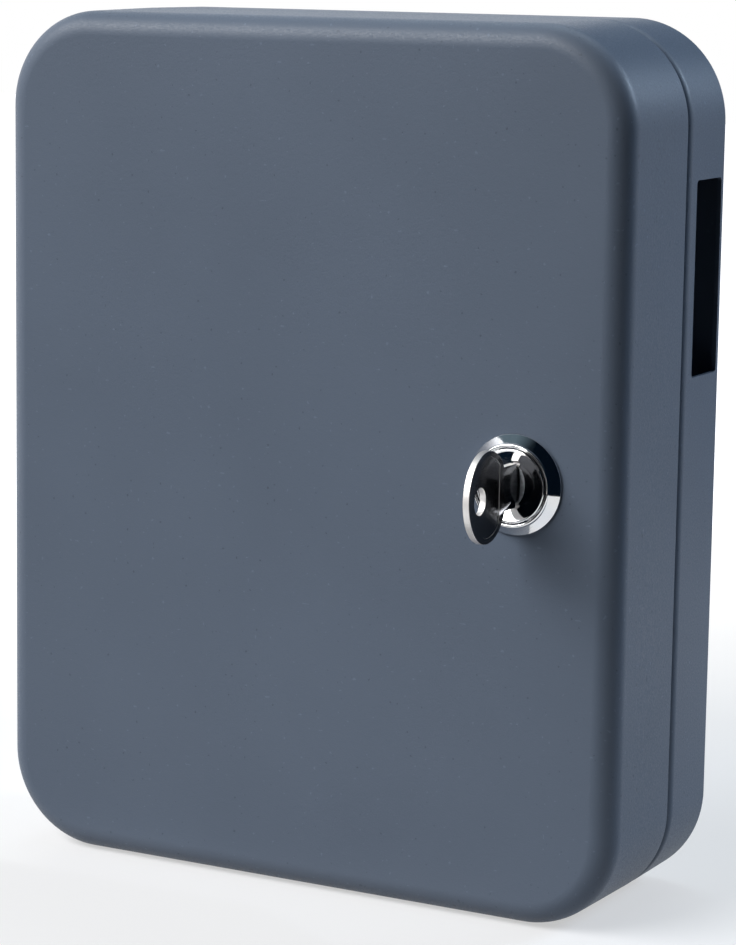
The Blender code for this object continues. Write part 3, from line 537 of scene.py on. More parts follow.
hinge_zinc = zinc_finish("zinc_plated_hinge", (1, 1, 60))
case_leaf = hinge_leaf("case_hinge_leaf", 1, range(0, KNUCKLES, 2), 0)
fit(case_leaf, hinge_zinc, "zinc_plate", "case", "hinge_case_leaf")
fit(hinge_pin(), hinge_zinc, "zinc_plate", "case", "hinge_pin")

case_relief = bmesh.new()
left_wall = -CABINET_WIDTH / 2
relief_back = HINGE_PLACE[1] + EYE_RADIUS + HINGE_CLEARANCE
block(
    case_relief,
    (left_wall - PUNCH_OVERRUN, -CASE_DEPTH - PUNCH_OVERRUN, -HINGE_RELIEF_LENGTH / 2),
    (left_wall + FLANGE_WIDTH + PUNCH_OVERRUN, relief_back, HINGE_RELIEF_LENGTH / 2),
)
cut(case_pan, solid("case_relief", case_relief))
soften(case_pan, PUNCHED_EDGE)
fit(case_pan, powder_coat, "powder_coat", "case", "case_shell")


# Door: a second pan pressed from the same 1 mm steel, as wide and tall as the case, with a
# rolled front edge and slightly drafted walls. It hangs on the hinge's other leaf, has a
# punched hole with two flats for the lock, and is powder coated like the case.
DOOR_DEPTH = 0.0305
DOOR_FRONT_RADIUS = 0.0056
DOOR_DRAFT = 0.0004
DOOR_RIM_Y = -0.0227
DOOR_FRONT_Y = DOOR_RIM_Y - DOOR_DEPTH
DOOR_LIP_RADIUS = 0.00022
DOOR_LEAN = math.atan(DOOR_DRAFT / (DOOR_DEPTH - DOOR_FRONT_RADIUS))
FRONT_BEND_STEPS = 16
LOCK_PLACE = (0.0548, DOOR_FRONT_Y, 0)
LOCK_BARREL_RADIUS = 0.009
LOCK_HALF_FLATS = 0.00775
LOCK_CLEARANCE = 0.0003


def door_section():
    middle = (DOOR_DRAFT + DOOR_FRONT_RADIUS, DOOR_FRONT_Y + DOOR_FRONT_RADIUS)
    lip = DOOR_LIP_RADIUS
    outer = bend(middle, DOOR_FRONT_RADIUS, 270, 180, FRONT_BEND_STEPS)
    outer += bend((lip, DOOR_RIM_Y - lip), lip, 180, 90, LIP_STEPS)
    inner = bend((STEEL - lip, DOOR_RIM_Y - lip), lip, 90, 0, LIP_STEPS)
    inner += bend(middle, DOOR_FRONT_RADIUS - STEEL, 180, 270, FRONT_BEND_STEPS)
    return outer + inner


door_pan = pressed_pan("door_pan", door_section())
lock_punch = bmesh.new()
flat = LOCK_HALF_FLATS + LOCK_CLEARANCE
hole_outline = circle(LOCK_BARREL_RADIUS + LOCK_CLEARANCE, 2 * HOLE_STEPS)
hole_outline = [(max(-flat, min(flat, x)) + LOCK_PLACE[0], z) for x, z in hole_outline]
punch(lock_punch, hole_outline, DOOR_FRONT_Y - PUNCH_OVERRUN, DOOR_FRONT_Y + STEEL + PUNCH_OVERRUN)
cut(door_pan, solid("lock_punch", lock_punch))

door_relief = bmesh.new()
relief_front = HINGE_PLACE[1] - EYE_RADIUS - HINGE_CLEARANCE
block(
    door_relief,
    (left_wall - PUNCH_OVERRUN, relief_front, -HINGE_RELIEF_LENGTH / 2),
    (left_wall + STEEL + PUNCH_OVERRUN, HINGE_PLACE[1] + PUNCH_OVERRUN, HINGE_RELIEF_LENGTH / 2),
)
cut(door_pan, solid("door_relief", door_relief))
soften(door_pan, PUNCHED_EDGE)
fit(door_pan, powder_coat, "powder_coat", "door", "door_shell")

door_leaf = hinge_leaf("door_hinge_leaf", -1, range(1, KNUCKLES, 2), DOOR_LEAN)
fit(door_leaf, hinge_zinc, "zinc_plate", "door", "hinge_door_leaf")


# Lock housing: a zinc casting plated with bright chrome. Its bezel covers the hole in the door and
# rises to a raised collar; a threaded barrel with two flats goes through. Heights run from the door.
BEZEL_RADIUS = 0.01115
BEZEL_HEIGHT = 0.0030
BEZEL_EDGE = 0.0003
BEZEL_EDGE_ROUND = 0.00018
BEZEL_CONE_TOP = (0.00945, -0.00233)
COLLAR_RADIUS = 0.00925
COLLAR_ROUND = 0.00032
RIM_ROUND = 0.0003
RECESS_RADIUS = 0.0085
RECESS_FLOOR = 0.0010
BORE_RADIUS = 0.0065
BARREL_LENGTH = 0.022
BARREL_CHAMFER = 0.0002
THREAD_PITCH = 0.0010
THREAD_DEPTH = 0.00045
THREAD_START = 0.0004
THREAD_END = 0.0212
THREAD_STEPS_A_TURN = 8
NOTCH_DEPTH = 0.0031
NOTCH_SIDE_ROOM = 0.0018
NOTCH_ROOT_RADIUS = 0.0062
NOTCH_STEPS = 36
LOCK_STEPS = 144
RIM_STEPS = 6
BEZEL_EDGE_STEPS = 4
COLLAR_ROUND_END = 340


def chrome_finish():
    """Mirror-bright chrome plate with a breath of polishing swirl and handling haze."""
    finish = new_finish("bright_chrome", (0.78, 0.79, 0.80), 1.0, 0.06)
    swirl = grain(finish, 0.00018, stretch=(6, 1, 6))
    haze = tint(finish, grain(finish, 0.004), (0.74, 0.75, 0.77), (0.82, 0.82, 0.82))
    gloss = spread(finish, swirl, 0.035, 0.10)
    normal = relief(finish, grain(finish, 0.0016), 0.0000015)
    connect(finish, Base_Color=haze, Roughness=gloss, Normal=normal)
    return finish


def threaded(radius, y, angle):
    """Radius of a single-start thread between the thread's ends."""
    if radius != LOCK_BARREL_RADIUS or not THREAD_START <= y <= THREAD_END:
        return radius
    phase = (y / THREAD_PITCH - angle / (2 * math.pi)) % 1
    return radius - THREAD_DEPTH * (1 - abs(2 * phase - 1))


def flats_around(half_width, reach, start, end, place, upright=False):
    """Two blocks that leave a pair of flats on a round shaft."""
    shape = bmesh.new()
    for side in (-1, 1):
        near, far = sorted((side * half_width, side * (half_width + reach)))
        if upright:
            block(shape, (-reach, start, near), (reach, end, far))
        else:
            block(shape, (near, start, -reach), (far, end, reach))
    return solid("flats", shape, place)


def lock_housing():
    edge_y = -LOCK_CLEARANCE - BEZEL_EDGE
    inner_middle = (RECESS_RADIUS + RIM_ROUND, -BEZEL_HEIGHT + RIM_ROUND)
    outer_middle = (COLLAR_RADIUS - COLLAR_ROUND, -BEZEL_HEIGHT + COLLAR_ROUND)
    profile = [(BORE_RADIUS, -RECESS_FLOOR), (RECESS_RADIUS, -RECESS_FLOOR)]
    profile += bend(inner_middle, RIM_ROUND, 180, 270, RIM_STEPS)
    profile += bend(outer_middle, COLLAR_ROUND, 270, COLLAR_ROUND_END, RIM_STEPS)
    profile.append(BEZEL_CONE_TOP)
    edge_middle = (BEZEL_RADIUS - BEZEL_EDGE_ROUND, edge_y)
    profile += bend(edge_middle, BEZEL_EDGE_ROUND, 315, 360, BEZEL_EDGE_STEPS)
    profile += [(BEZEL_RADIUS, -LOCK_CLEARANCE), (LOCK_BARREL_RADIUS, -LOCK_CLEARANCE)]
    steps = round((THREAD_END - THREAD_START) / THREAD_PITCH * THREAD_STEPS_A_TURN)
    for step in range(steps + 1):
        profile.append((LOCK_BARREL_RADIUS, THREAD_START + (THREAD_END - THREAD_START) * step / steps))
    profile.append((LOCK_BARREL_RADIUS, BARREL_LENGTH - BARREL_CHAMFER))
    profile += [(LOCK_BARREL_RADIUS - BARREL_CHAMFER, BARREL_LENGTH), (BORE_RADIUS, BARREL_LENGTH)]
    housing = spun("chrome_housing", profile, LOCK_STEPS, LOCK_PLACE, threaded)
    start, end = -LOCK_CLEARANCE / 2, BARREL_LENGTH + PUNCH_OVERRUN
    cut(housing, flats_around(LOCK_HALF_FLATS, 2 * LOCK_BARREL_RADIUS, start, end, LOCK_PLACE))

    notch = bmesh.new()
    margin = math.degrees(NOTCH_SIDE_ROOM / NOTCH_ROOT_RADIUS)
    sector = [(0, 0)] + bend((0, 0), 2 * LOCK_BARREL_RADIUS, 90 + margin, -margin, NOTCH_STEPS)
    punch(notch, sector, BARREL_LENGTH - NOTCH_DEPTH, BARREL_LENGTH + PUNCH_OVERRUN)
    cut(housing, solid("stop_notch", notch, LOCK_PLACE))
    return housing


chrome = chrome_finish()
fit(lock_housing(), chrome, "lock_chrome", "door", "lock_housing")


# Washer and nut: a toothed washer of spring steel and a hex nut, both zinc plated. The nut is
# screwed onto the barrel from inside and pulls the bezel tight to the door.
WASHER_RADIUS = 0.0120
WASHER_ROOT = 0.01075
WASHER_THICKNESS = 0.0009
WASHER_TEETH = 14
TOOTH_OUTLINE = (
    (0.05, WASHER_ROOT),
    (0.45, WASHER_ROOT),
    (0.58, WASHER_RADIUS),
    (0.92, WASHER_RADIUS),
)
NUT_ACROSS_FLATS = 0.0235
NUT_THICKNESS = 0.0042
NUT_CHAMFER = 0.0009
NUT_THREAD_DEPTH = 0.0003
NUT_START = STEEL + 2 * LOCK_CLEARANCE + WASHER_THICKNESS


def barrel_bore(start, end, groove=0.0):
    """The hole that a washer or nut has for the barrel, with thread grooves where it has a thread."""
    radius = LOCK_BARREL_RADIUS + LOCK_CLEARANCE
    profile = [(0, start - PUNCH_OVERRUN), (radius, start - PUNCH_OVERRUN)]
    if groove:
        turns = round((end - start) / THREAD_PITCH)
        for turn in range(turns):
            y = start + turn * THREAD_PITCH
            profile += [(radius, y), (radius + groove, y + THREAD_PITCH / 2)]
        profile.append((radius, start + turns * THREAD_PITCH))
    profile += [(radius, end + PUNCH_OVERRUN), (0, end + PUNCH_OVERRUN)]
    return spun("bore", profile, LOCK_STEPS, LOCK_PLACE)


def toothed_washer():
    outline = []
    for tooth in range(WASHER_TEETH):
        for share, radius in TOOTH_OUTLINE:
            angle = 2 * math.pi * (tooth + share) / WASHER_TEETH
            outline.append((radius * math.cos(angle), radius * math.sin(angle)))
    shape = bmesh.new()
    start = STEEL + LOCK_CLEARANCE
    punch(shape, outline, start, start + WASHER_THICKNESS)
    washer = solid("toothed_washer", shape, LOCK_PLACE)
    cut(washer, barrel_bore(start, start + WASHER_THICKNESS))
    soften(washer, SHEARED_EDGE)
    return washer


def hex_nut():
    corner = NUT_ACROSS_FLATS / math.sqrt(3)
    flat = NUT_ACROSS_FLATS / 2
    end = NUT_START + NUT_THICKNESS
    shape = bmesh.new()
    punch(shape, circle(corner, 6), NUT_START, end)
    nut = solid("zinc_nut", shape, LOCK_PLACE)
    profile = [(0, NUT_START - PUNCH_OVERRUN), (flat - NUT_CHAMFER, NUT_START - PUNCH_OVERRUN)]
    profile += [(flat - NUT_CHAMFER, NUT_START), (corner, NUT_START + NUT_CHAMFER)]
    profile += [(corner, end - NUT_CHAMFER), (flat - NUT_CHAMFER, end)]
    profile += [(flat - NUT_CHAMFER, end + PUNCH_OVERRUN), (0, end + PUNCH_OVERRUN)]
    cut(nut, spun("chamfers", profile, LOCK_STEPS, LOCK_PLACE), "INTERSECT")
    cut(nut, barrel_bore(NUT_START, end, groove=NUT_THREAD_DEPTH))
    soften(nut, SHEARED_EDGE / 2, over=28)
    return nut


lock_zinc = zinc_finish("zinc_plated_nut", (1, 1, 1))
fit(toothed_washer(), lock_zinc, "zinc_plate", "door", "lock_washer")
fit(hex_nut(), lock_zinc, "zinc_plate", "door", "lock_nut")


# Lock plug: the core that the key turns, cast in zinc and chromed. Its face is dished down to a flat
# disc with an upright keyway in a tapered mouth. At its back end a stop lug runs in the barrel's
# notch, and the cam on its square tail keeps it in the housing.
PLUG_RADIUS = 0.0082
PLUG_RING_ROUND = 0.0003
PLATED_EDGE = 0.00008
DISH_RADIUS = 0.0076
DISH_DEPTH = 0.0022
DISH_EDGE_BREAK = (0.0001, 0.00012)
CORE_RADIUS = 0.0046
CORE_EDGE_BREAK = 0.0002
SHAFT_RADIUS = 0.0062
TAIL_RADIUS = 0.0042
TAIL_HALF_SQUARE = 0.0032
TAIL_HOLE = (0.0020, 0.0062)
CAM_Y = BARREL_LENGTH + 2 * LOCK_CLEARANCE
CAM_STEEL = 0.0018
STOP_LUG = (0.003, 0.0074, 0.0025)
KEYWAY_HALF = (0.0011, 0.0041)
KEYWAY_LENGTH = 0.0158
KEYWAY_MOUTH = (0.00255, 0.00435)
KEYWAY_MOUTH_DEPTH = 0.0012
SMALL_ROUND_STEPS = 64


def keyway_finish():
    """Oxidised bare zinc where the plating doesn't reach, dull and grey."""
    finish = new_finish("bare_keyway", (0.68, 0.70, 0.72), 0.2, 0.4)
    wear = tint(finish, grain(finish, 0.0006), (0.52, 0.54, 0.56), (0.88, 0.90, 0.93))
    connect(finish, Base_Color=wear, Roughness=spread(finish, grain(finish, 0.0003), 0.34, 0.50))
    return finish


def lock_plug():
    shoulder = BARREL_LENGTH + LOCK_CLEARANCE
    tail_y = CAM_Y + CAM_STEEL
    core_y = -BEZEL_HEIGHT + DISH_DEPTH
    across, deep = DISH_EDGE_BREAK
    profile = [(0, core_y), (CORE_RADIUS - CORE_EDGE_BREAK, core_y)]
    profile += [(CORE_RADIUS + across, core_y - deep), (DISH_RADIUS - across, -BEZEL_HEIGHT + deep)]
    ring_middle = (PLUG_RADIUS - PLUG_RING_ROUND, -BEZEL_HEIGHT + PLUG_RING_ROUND)
    profile += bend(ring_middle, PLUG_RING_ROUND, 270, 360, RIM_STEPS)
    back = -RECESS_FLOOR - LOCK_CLEARANCE
    profile += [(PLUG_RADIUS, back), (SHAFT_RADIUS, back), (SHAFT_RADIUS, shoulder)]
    hole_radius, hole_depth = TAIL_HOLE
    profile += [(TAIL_RADIUS, shoulder), (TAIL_RADIUS, tail_y), (hole_radius, tail_y)]
    profile += [(hole_radius, tail_y - hole_depth), (0, tail_y - hole_depth)]
    plug = spun("chrome_plug", profile, LOCK_STEPS, LOCK_PLACE)

    lug = bmesh.new()
    width, reach, length = STOP_LUG
    low = (-width / 2, BARREL_LENGTH - length, SHAFT_RADIUS / 2)
    block(lug, low, (width / 2, shoulder - LOCK_CLEARANCE / 2, reach))
    cut(plug, solid("stop_lug", lug, LOCK_PLACE), "UNION")
    for upright in (False, True):
        ends = (shoulder, tail_y + PUNCH_OVERRUN)
        cut(plug, flats_around(TAIL_HALF_SQUARE, 2 * TAIL_RADIUS, *ends, LOCK_PLACE, upright))

    keyway = bmesh.new()
    wide, tall = KEYWAY_HALF
    block(keyway, (-wide, -BEZEL_HEIGHT, -tall), (wide, KEYWAY_LENGTH, tall))
    cut(plug, solid("keyway", keyway, LOCK_PLACE))
    wide, tall = KEYWAY_MOUTH
    profile = [(0, core_y + KEYWAY_MOUTH_DEPTH), (wide, core_y), (wide, core_y - PUNCH_OVERRUN)]
    mouth = spun("keyway_mouth", profile + [(0, core_y - PUNCH_OVERRUN)], SMALL_ROUND_STEPS)
    mouth.data.transform(Matrix.Translation(LOCK_PLACE) @ Matrix.Diagonal((1, 1, tall / wide, 1)))
    cut(plug, mouth)
    soften(plug, PLATED_EDGE, over=50)
    return plug


plug = lock_plug()
fit(plug, chrome, "lock_chrome", "lock_core", "lock_plug")
plug.data.materials.append(keyway_finish())
for face in plug.data.polygons:
    across, depth, up = face.center - Vector(LOCK_PLACE)
    from_middle = math.hypot(across / KEYWAY_MOUTH[0], up / KEYWAY_MOUTH[1])
    if depth > DISH_DEPTH - BEZEL_HEIGHT and from_middle < 1:
        face.material_index = 1


# Cam with its washer and screw: a zinc-plated steel strip cranked back to reach behind the
# case's flange. A square hole fits the plug's tail, and a slotted screw with a washer holds it.
CAM_HUB_RADIUS = 0.008
CAM_REACH = 0.0225
CAM_TIP_RADIUS = 0.0045
CAM_EDGE = 0.0002
DOOR_GAP = 0.0003
FLANGE_GAP = 0.0005
CAM_TIP_Y = DOOR_DEPTH + DOOR_GAP + STEEL + FLANGE_GAP
CRANK_START = 0.0090
CRANK_RUN = 0.0040
CRANK_BEND = 0.0016
CRANK_BEND_STEPS = 8
CAM_HUB_STEPS = 48
CAM_TIP_STEPS = 24
CAM_WASHER = (0.0022, 0.0038, 0.0009)
SCREW_RADIUS = 0.0017
SCREW_HEAD_RADIUS = 0.0035
SCREW_HEAD_HEIGHT = 0.0024
SCREW_HEAD_CHAMFER = 0.0008
SCREW_TIP_CHAMFER = 0.0004
SCREW_LENGTH = 0.0068
SCREW_SLOT = (0.0010, 0.0011)


def rounded_path(points, radius, steps):
    """A path whose inner corners are drawn as curves."""
    path = [Vector(points[0])]
    for before, corner, after in zip(points, points[1:], points[2:]):
        corner = Vector(corner)
        enter = corner + (Vector(before) - corner).normalized() * radius
        leave = corner + (Vector(after) - corner).normalized() * radius
        for step in range(steps + 1):
            share = step / steps
            rest = 1 - share
            path.append(enter * rest**2 + corner * 2 * share * rest + leave * share**2)
    return path + [Vector(points[-1])]


def cam_strip():
    over = CAM_HUB_RADIUS + PUNCH_OVERRUN
    points = ((-over, CAM_Y), (CRANK_START, CAM_Y), (CRANK_START + CRANK_RUN, CAM_TIP_Y))
    end = (CAM_REACH + PUNCH_OVERRUN, CAM_TIP_Y)
    path = rounded_path((*points, end), CRANK_BEND, CRANK_BEND_STEPS)
    shape = bmesh.new()
    line = [shape.verts.new((-over, y, z)) for z, y in path]
    edges = [shape.edges.new(pair) for pair in zip(line, line[1:])]
    made = bmesh.ops.extrude_edge_only(shape, edges=edges)["geom"]
    moved = [item for item in made if isinstance(item, bmesh.types.BMVert)]
    bmesh.ops.translate(shape, verts=moved, vec=(2 * over, 0, 0))
    for face in shape.faces:
        face.normal_update()
        if face.normal.y > 0:
            face.normal_flip()
    cam = solid("cranked_cam", shape, LOCK_PLACE)
    sheet = cam.modifiers.new("sheet", "SOLIDIFY")
    sheet.thickness = CAM_STEEL
    sheet.offset = -1
    sheet.use_even_offset = True
    keep_shape(cam)

    blank = bmesh.new()
    tip_middle = CAM_REACH - CAM_TIP_RADIUS
    lean = math.degrees(math.acos((CAM_HUB_RADIUS - CAM_TIP_RADIUS) / tip_middle))
    outline = bend((0, 0), CAM_HUB_RADIUS, 90 + lean, 450 - lean, CAM_HUB_STEPS)
    outline += bend((0, tip_middle), CAM_TIP_RADIUS, 90 - lean, 90 + lean, CAM_TIP_STEPS)
    punch(blank, outline, CAM_Y - PUNCH_OVERRUN, CAM_TIP_Y + CAM_STEEL + PUNCH_OVERRUN)
    cut(cam, solid("cam_blank", blank, LOCK_PLACE), "INTERSECT")

    square = bmesh.new()
    half = TAIL_HALF_SQUARE + LOCK_CLEARANCE
    low, high = CAM_Y - PUNCH_OVERRUN, CAM_Y + CAM_STEEL + PUNCH_OVERRUN
    block(square, (-half, low, -half), (half, high, half))
    cut(cam, solid("square_hole", square, LOCK_PLACE))
    soften(cam, CAM_EDGE, steps=3)
    return cam


def cam_washer():
    inner, outer, thickness = CAM_WASHER
    start = CAM_Y + CAM_STEEL + LOCK_CLEARANCE
    end = start + thickness
    profile = [(inner, start), (outer, start), (outer, end), (inner, end)]
    washer = spun("flat_washer", profile, SMALL_ROUND_STEPS, LOCK_PLACE)
    soften(washer, SHEARED_EDGE)
    return washer


def cam_screw():
    seat = CAM_Y + CAM_STEEL + 2 * LOCK_CLEARANCE + CAM_WASHER[2]
    top = seat + SCREW_HEAD_HEIGHT
    tip = seat - SCREW_LENGTH
    profile = [(0, tip), (SCREW_RADIUS - SCREW_TIP_CHAMFER, tip)]
    profile += [(SCREW_RADIUS, tip + SCREW_TIP_CHAMFER), (SCREW_RADIUS, seat)]
    profile += [(SCREW_HEAD_RADIUS, seat), (SCREW_HEAD_RADIUS, top - SCREW_HEAD_CHAMFER)]
    profile += [(SCREW_HEAD_RADIUS - SCREW_HEAD_CHAMFER, top), (0, top)]
    screw = spun("slotted_screw", profile, SMALL_ROUND_STEPS, LOCK_PLACE)
    slot = bmesh.new()
    over = SCREW_HEAD_RADIUS + PUNCH_OVERRUN
    half = SCREW_SLOT[0] / 2
    block(slot, (-over, top - SCREW_SLOT[1], -half), (over, top + PUNCH_OVERRUN, half))
    cut(screw, solid("screw_slot", slot, LOCK_PLACE))
    soften(screw, PLATED_EDGE, over=30)
    return screw


fit(cam_strip(), lock_zinc, "zinc_plate", "lock_core", "lock_cam")
fit(cam_washer(), lock_zinc, "zinc_plate", "lock_core", "cam_washer")
fit(cam_screw(), lock_zinc, "zinc_plate", "lock_core", "cam_screw")


# Key: stamped from nickel-plated steel plate. Its round bow has a shallow pressed panel on both
# sides and one hole for a ring; its neck stops in the plug's dish, and the blade is cut on both sides.
KEY_THICKNESS = 0.0016
BOW_MIDDLE = (-0.0150, -0.0007)
BOW_REACH = (0.00912, 0.0101)
BOW_HOLE_MIDDLE = (-0.0187, -0.0010)
BOW_HOLE_REACH = (0.00275, 0.0030)
PANEL_REACH = (0.00785, 0.0088)
PANEL_END = 0.00545
PANEL_DEPTH = 0.00012
PANEL_EDGE = 0.00012
NECK_HALF = 0.0049
NECK_END = -0.0015
BLADE_HALF = 0.0038
BLADE_TIP = 0.0155
BLADE_TIP_LENGTH = 0.0022
BLADE_TIP_HALF = 0.00135
CUT_DEPTH = 0.0014
CUT_PITCH = 0.0026
CUT_SHARES = (0.35, 0.9, 0.5, 1.0, 0.25)
KEY_EDGE = 0.00016
KEY_STEPS = 96
# How square to the key's face a surface is where its colour goes from the white edge (wear and painted
# highlight) to the painted dark reflection on its faces.
EDGE_WEAR_TO_PAINTED_DARK_FACE = (0.35, 0.75)


def nickel_finish():
    """Nickel plate with a handled haze; faces painted near-black as a painted dark reflection, sheared
    edges white, partly wear and partly a painted highlight.
    """
    finish = new_finish("nickel_with_painted_dark_faces", (0.84, 0.82, 0.80), 1.0, 0.16)
    nodes, links = finish.node_tree.nodes, finish.node_tree.links
    scratches = grain(finish, 0.00010, stretch=(1, 30, 1.5))
    handled = tint(finish, grain(finish, 0.0035), (0.80, 0.77, 0.75), (0.90, 0.88, 0.86))
    facing = nodes.new("ShaderNodeTexCoord")
    parts = nodes.new("ShaderNodeSeparateXYZ")
    links.new(facing.outputs["Normal"], parts.inputs["Vector"])
    on_face = nodes.new("ShaderNodeMath")
    on_face.operation = "ABSOLUTE"
    links.new(parts.outputs["X"], on_face.inputs[0])
    # Painted light: faces get a near-black colour standing in for a dark reflection, edges white,
    # partly wear and partly a painted highlight.
    wear_and_painted_reflection = tint(finish, on_face.outputs[0], (1.0,) * 3, (0.155, 0.162, 0.178), *EDGE_WEAR_TO_PAINTED_DARK_FACE)
    gloss = spread(finish, on_face.outputs[0], 0.50, 0.0, *EDGE_WEAR_TO_PAINTED_DARK_FACE)
    links.new(spread(finish, scratches, 0.08, 0.22), gloss.node.inputs["To Max"])
    normal = relief(finish, scratches, 0.0000015)
    connect(finish, Base_Color=mixed(finish, handled, wear_and_painted_reflection), Roughness=gloss, Normal=normal)
    return finish


def key_edge(shares):
    """One side of the key's blade, from its tip to its neck, as (y, z) points."""
    points = [(BLADE_TIP, BLADE_TIP_HALF), (BLADE_TIP - BLADE_TIP_LENGTH, BLADE_HALF)]
    for number, share in enumerate(shares, 1):
        middle = BLADE_TIP - BLADE_TIP_LENGTH - number * CUT_PITCH
        points.append((middle, BLADE_HALF - CUT_DEPTH * share))
        points.append((middle - CUT_PITCH / 2, BLADE_HALF))
    return points + [(NECK_END, BLADE_HALF), (NECK_END, NECK_HALF)]


def flat_key():
    drop = BOW_MIDDLE[1]
    start = math.degrees(math.asin((NECK_HALF - drop) / BOW_REACH[1]))
    end = 360 - math.degrees(math.asin((NECK_HALF + drop) / BOW_REACH[1]))
    bow = arc(BOW_MIDDLE, BOW_REACH, start, end, KEY_STEPS)
    lower = [(y, -z) for y, z in reversed(key_edge(CUT_SHARES[::-1]))]
    shape = bmesh.new()
    outline = key_edge(CUT_SHARES) + bow + lower
    swept(shape, [(-KEY_THICKNESS / 2, y, z) for y, z in outline], (KEY_THICKNESS, 0, 0))
    key = solid("nickel_key", shape, LOCK_PLACE)
    hole = bmesh.new()
    ring = arc(BOW_HOLE_MIDDLE, BOW_HOLE_REACH, 0, 360, SMALL_ROUND_STEPS)[:-1]
    over = KEY_THICKNESS / 2 + PUNCH_OVERRUN
    swept(hole, [(-over, y, z) for y, z in ring], (2 * over, 0, 0))
    cut(key, solid("ring_hole", hole, LOCK_PLACE))
    soften(key, KEY_EDGE, steps=3)

    cut_off = math.degrees(math.acos(PANEL_END / PANEL_REACH[0]))
    outline = arc(BOW_MIDDLE, PANEL_REACH, cut_off, 360 - cut_off, KEY_STEPS)
    panels = bmesh.new()
    for side in (-1, 1):
        floor = side * (KEY_THICKNESS / 2 - PANEL_DEPTH)
        swept(panels, [(floor, y, z) for y, z in outline], (side * PUNCH_OVERRUN, 0, 0))
    die = solid("panel_die", panels, LOCK_PLACE)
    soften(die, PANEL_EDGE / 2, over=60)
    cut(key, die)
    return key


fit(flat_key(), nickel_finish(), "key_nickel", "key", "key")


# Floor and light: the cabinet stands on a white floor in a white studio. One wide soft box lights it
# from the upper left, and two small ones from the right rear and the rear top. Flags, a strip on the
# floor and a ceiling, all of navy-black cloth, give its coat and its chrome dark edges.
FLOOR_SIZE = 6.0
FLOOR_Z = -CABINET_HEIGHT / 2
FLOOR_COLOUR = (0.36, 0.36, 0.365)
FLOOR_GLOW = (0.53, 1.0)
FLOOR_GLOW_REACH = (0.18, 0.50)
ROOM_LIGHT = 0.05
CLOTH_COLOUR = (0.003, 0.008, 0.016)
# Each lamp: name, azimuth, elevation, distance, size, power and colour.
LAMPS = (
    ("left_soft_box", -38, 41, 3.0, (3.20, 1.40), 140.0, (1.0, 1.0, 1.0)),
    ("right_rear_soft_box", 134, 27, 1.3, (0.40, 0.40), 10.4, (0.62, 0.79, 1.0)),
    ("rear_top_soft_box", 184, 64, 1.7, (1.30, 0.80), 8.0, (0.80, 0.94, 1.0)),
)
# Each flag: name, first and last azimuth, distance and height.
FLAGS = (
    ("left_front_flag", -58, -2, 0.40, 0.16),
    ("right_front_flag", 4, 108, 0.33, 0.80),
    ("rear_flag", 147, 192, 0.45, 0.80),
)
FLAG_STEPS = 24
FLOOR_STRIP = ((-0.30, -0.068), (0.0, -0.068), (0.10, -0.124), (-0.30, -0.124))
STRIP_THICKNESS = 0.001
CEILING_REACH = 3.9
CEILING_Z = 3.2
CEILING_STEPS = 48
CEILING_GLOW = (0.20, 0.01)
CEILING_GLOW_COLOUR = (0.60, 0.84, 1.0)
CEILING_GLOW_REACH = (-1.2, 0.5)
AIM = Vector((0, -0.0266, 0))


def from_azimuth(azimuth, elevation, distance):
    """A place seen from the cabinet: azimuth runs from the front towards the right."""
    turn, rise = math.radians(azimuth), math.radians(elevation)
    way = Vector((math.sin(turn) * math.cos(rise), -math.cos(turn) * math.cos(rise), math.sin(rise)))
    return AIM + way * distance


def seen_rays(tree):
    """1 for rays from the camera, from a reflection or through glass, and 0 for the rest."""
    path = tree.nodes.new("ShaderNodeLightPath")
    total = path.outputs["Is Camera Ray"]
    for kind in ("Is Glossy Ray", "Is Transmission Ray"):
        higher = tree.nodes.new("ShaderNodeMath")
        higher.operation = "MAXIMUM"
        tree.links.new(total, higher.inputs[0])
        tree.links.new(path.outputs[kind], higher.inputs[1])
        total = higher.outputs[0]
    return total


def white_floor():
    shape = bmesh.new()
    half = FLOOR_SIZE / 2
    corners = ((-half, -half), (half, -half), (half, half), (-half, half))
    shape.faces.new([shape.verts.new((x, y, FLOOR_Z)) for x, y in corners])
    floor = solid("studio_floor", shape)
    finish = new_finish("white_floor", FLOOR_COLOUR, 0.0, 0.6)
    tree = finish.node_tree
    place = tree.nodes.new("ShaderNodeTexCoord")
    reach = tree.nodes.new("ShaderNodeVectorMath")
    reach.operation = "LENGTH"
    tree.links.new(place.outputs["Object"], reach.inputs[0])
    level = spread(finish, reach.outputs["Value"], *FLOOR_GLOW, *FLOOR_GLOW_REACH)
    glow = tree.nodes.new("ShaderNodeMath")
    glow.operation = "MULTIPLY"
    tree.links.new(level, glow.inputs[1])
    tree.links.new(seen_rays(tree), glow.inputs[0])
    tree.nodes["Principled BSDF"].inputs["Emission Color"].default_value = (1, 1, 1, 1)
    connect(finish, Emission_Strength=glow.outputs[0])
    floor.data.materials.append(finish)


def hang(name, shape):
    """Hangs a shape of navy-black cloth in the studio, where only reflections and shadows show it."""
    screen = solid(name, shape)
    cloth = new_finish("navy_cloth", CLOTH_COLOUR, 0.0, 1.0)
    cloth.node_tree.nodes["Principled BSDF"].inputs["Specular IOR Level"].default_value = 0.0
    screen.data.materials.append(cloth)
    screen.visible_camera = False
    return screen


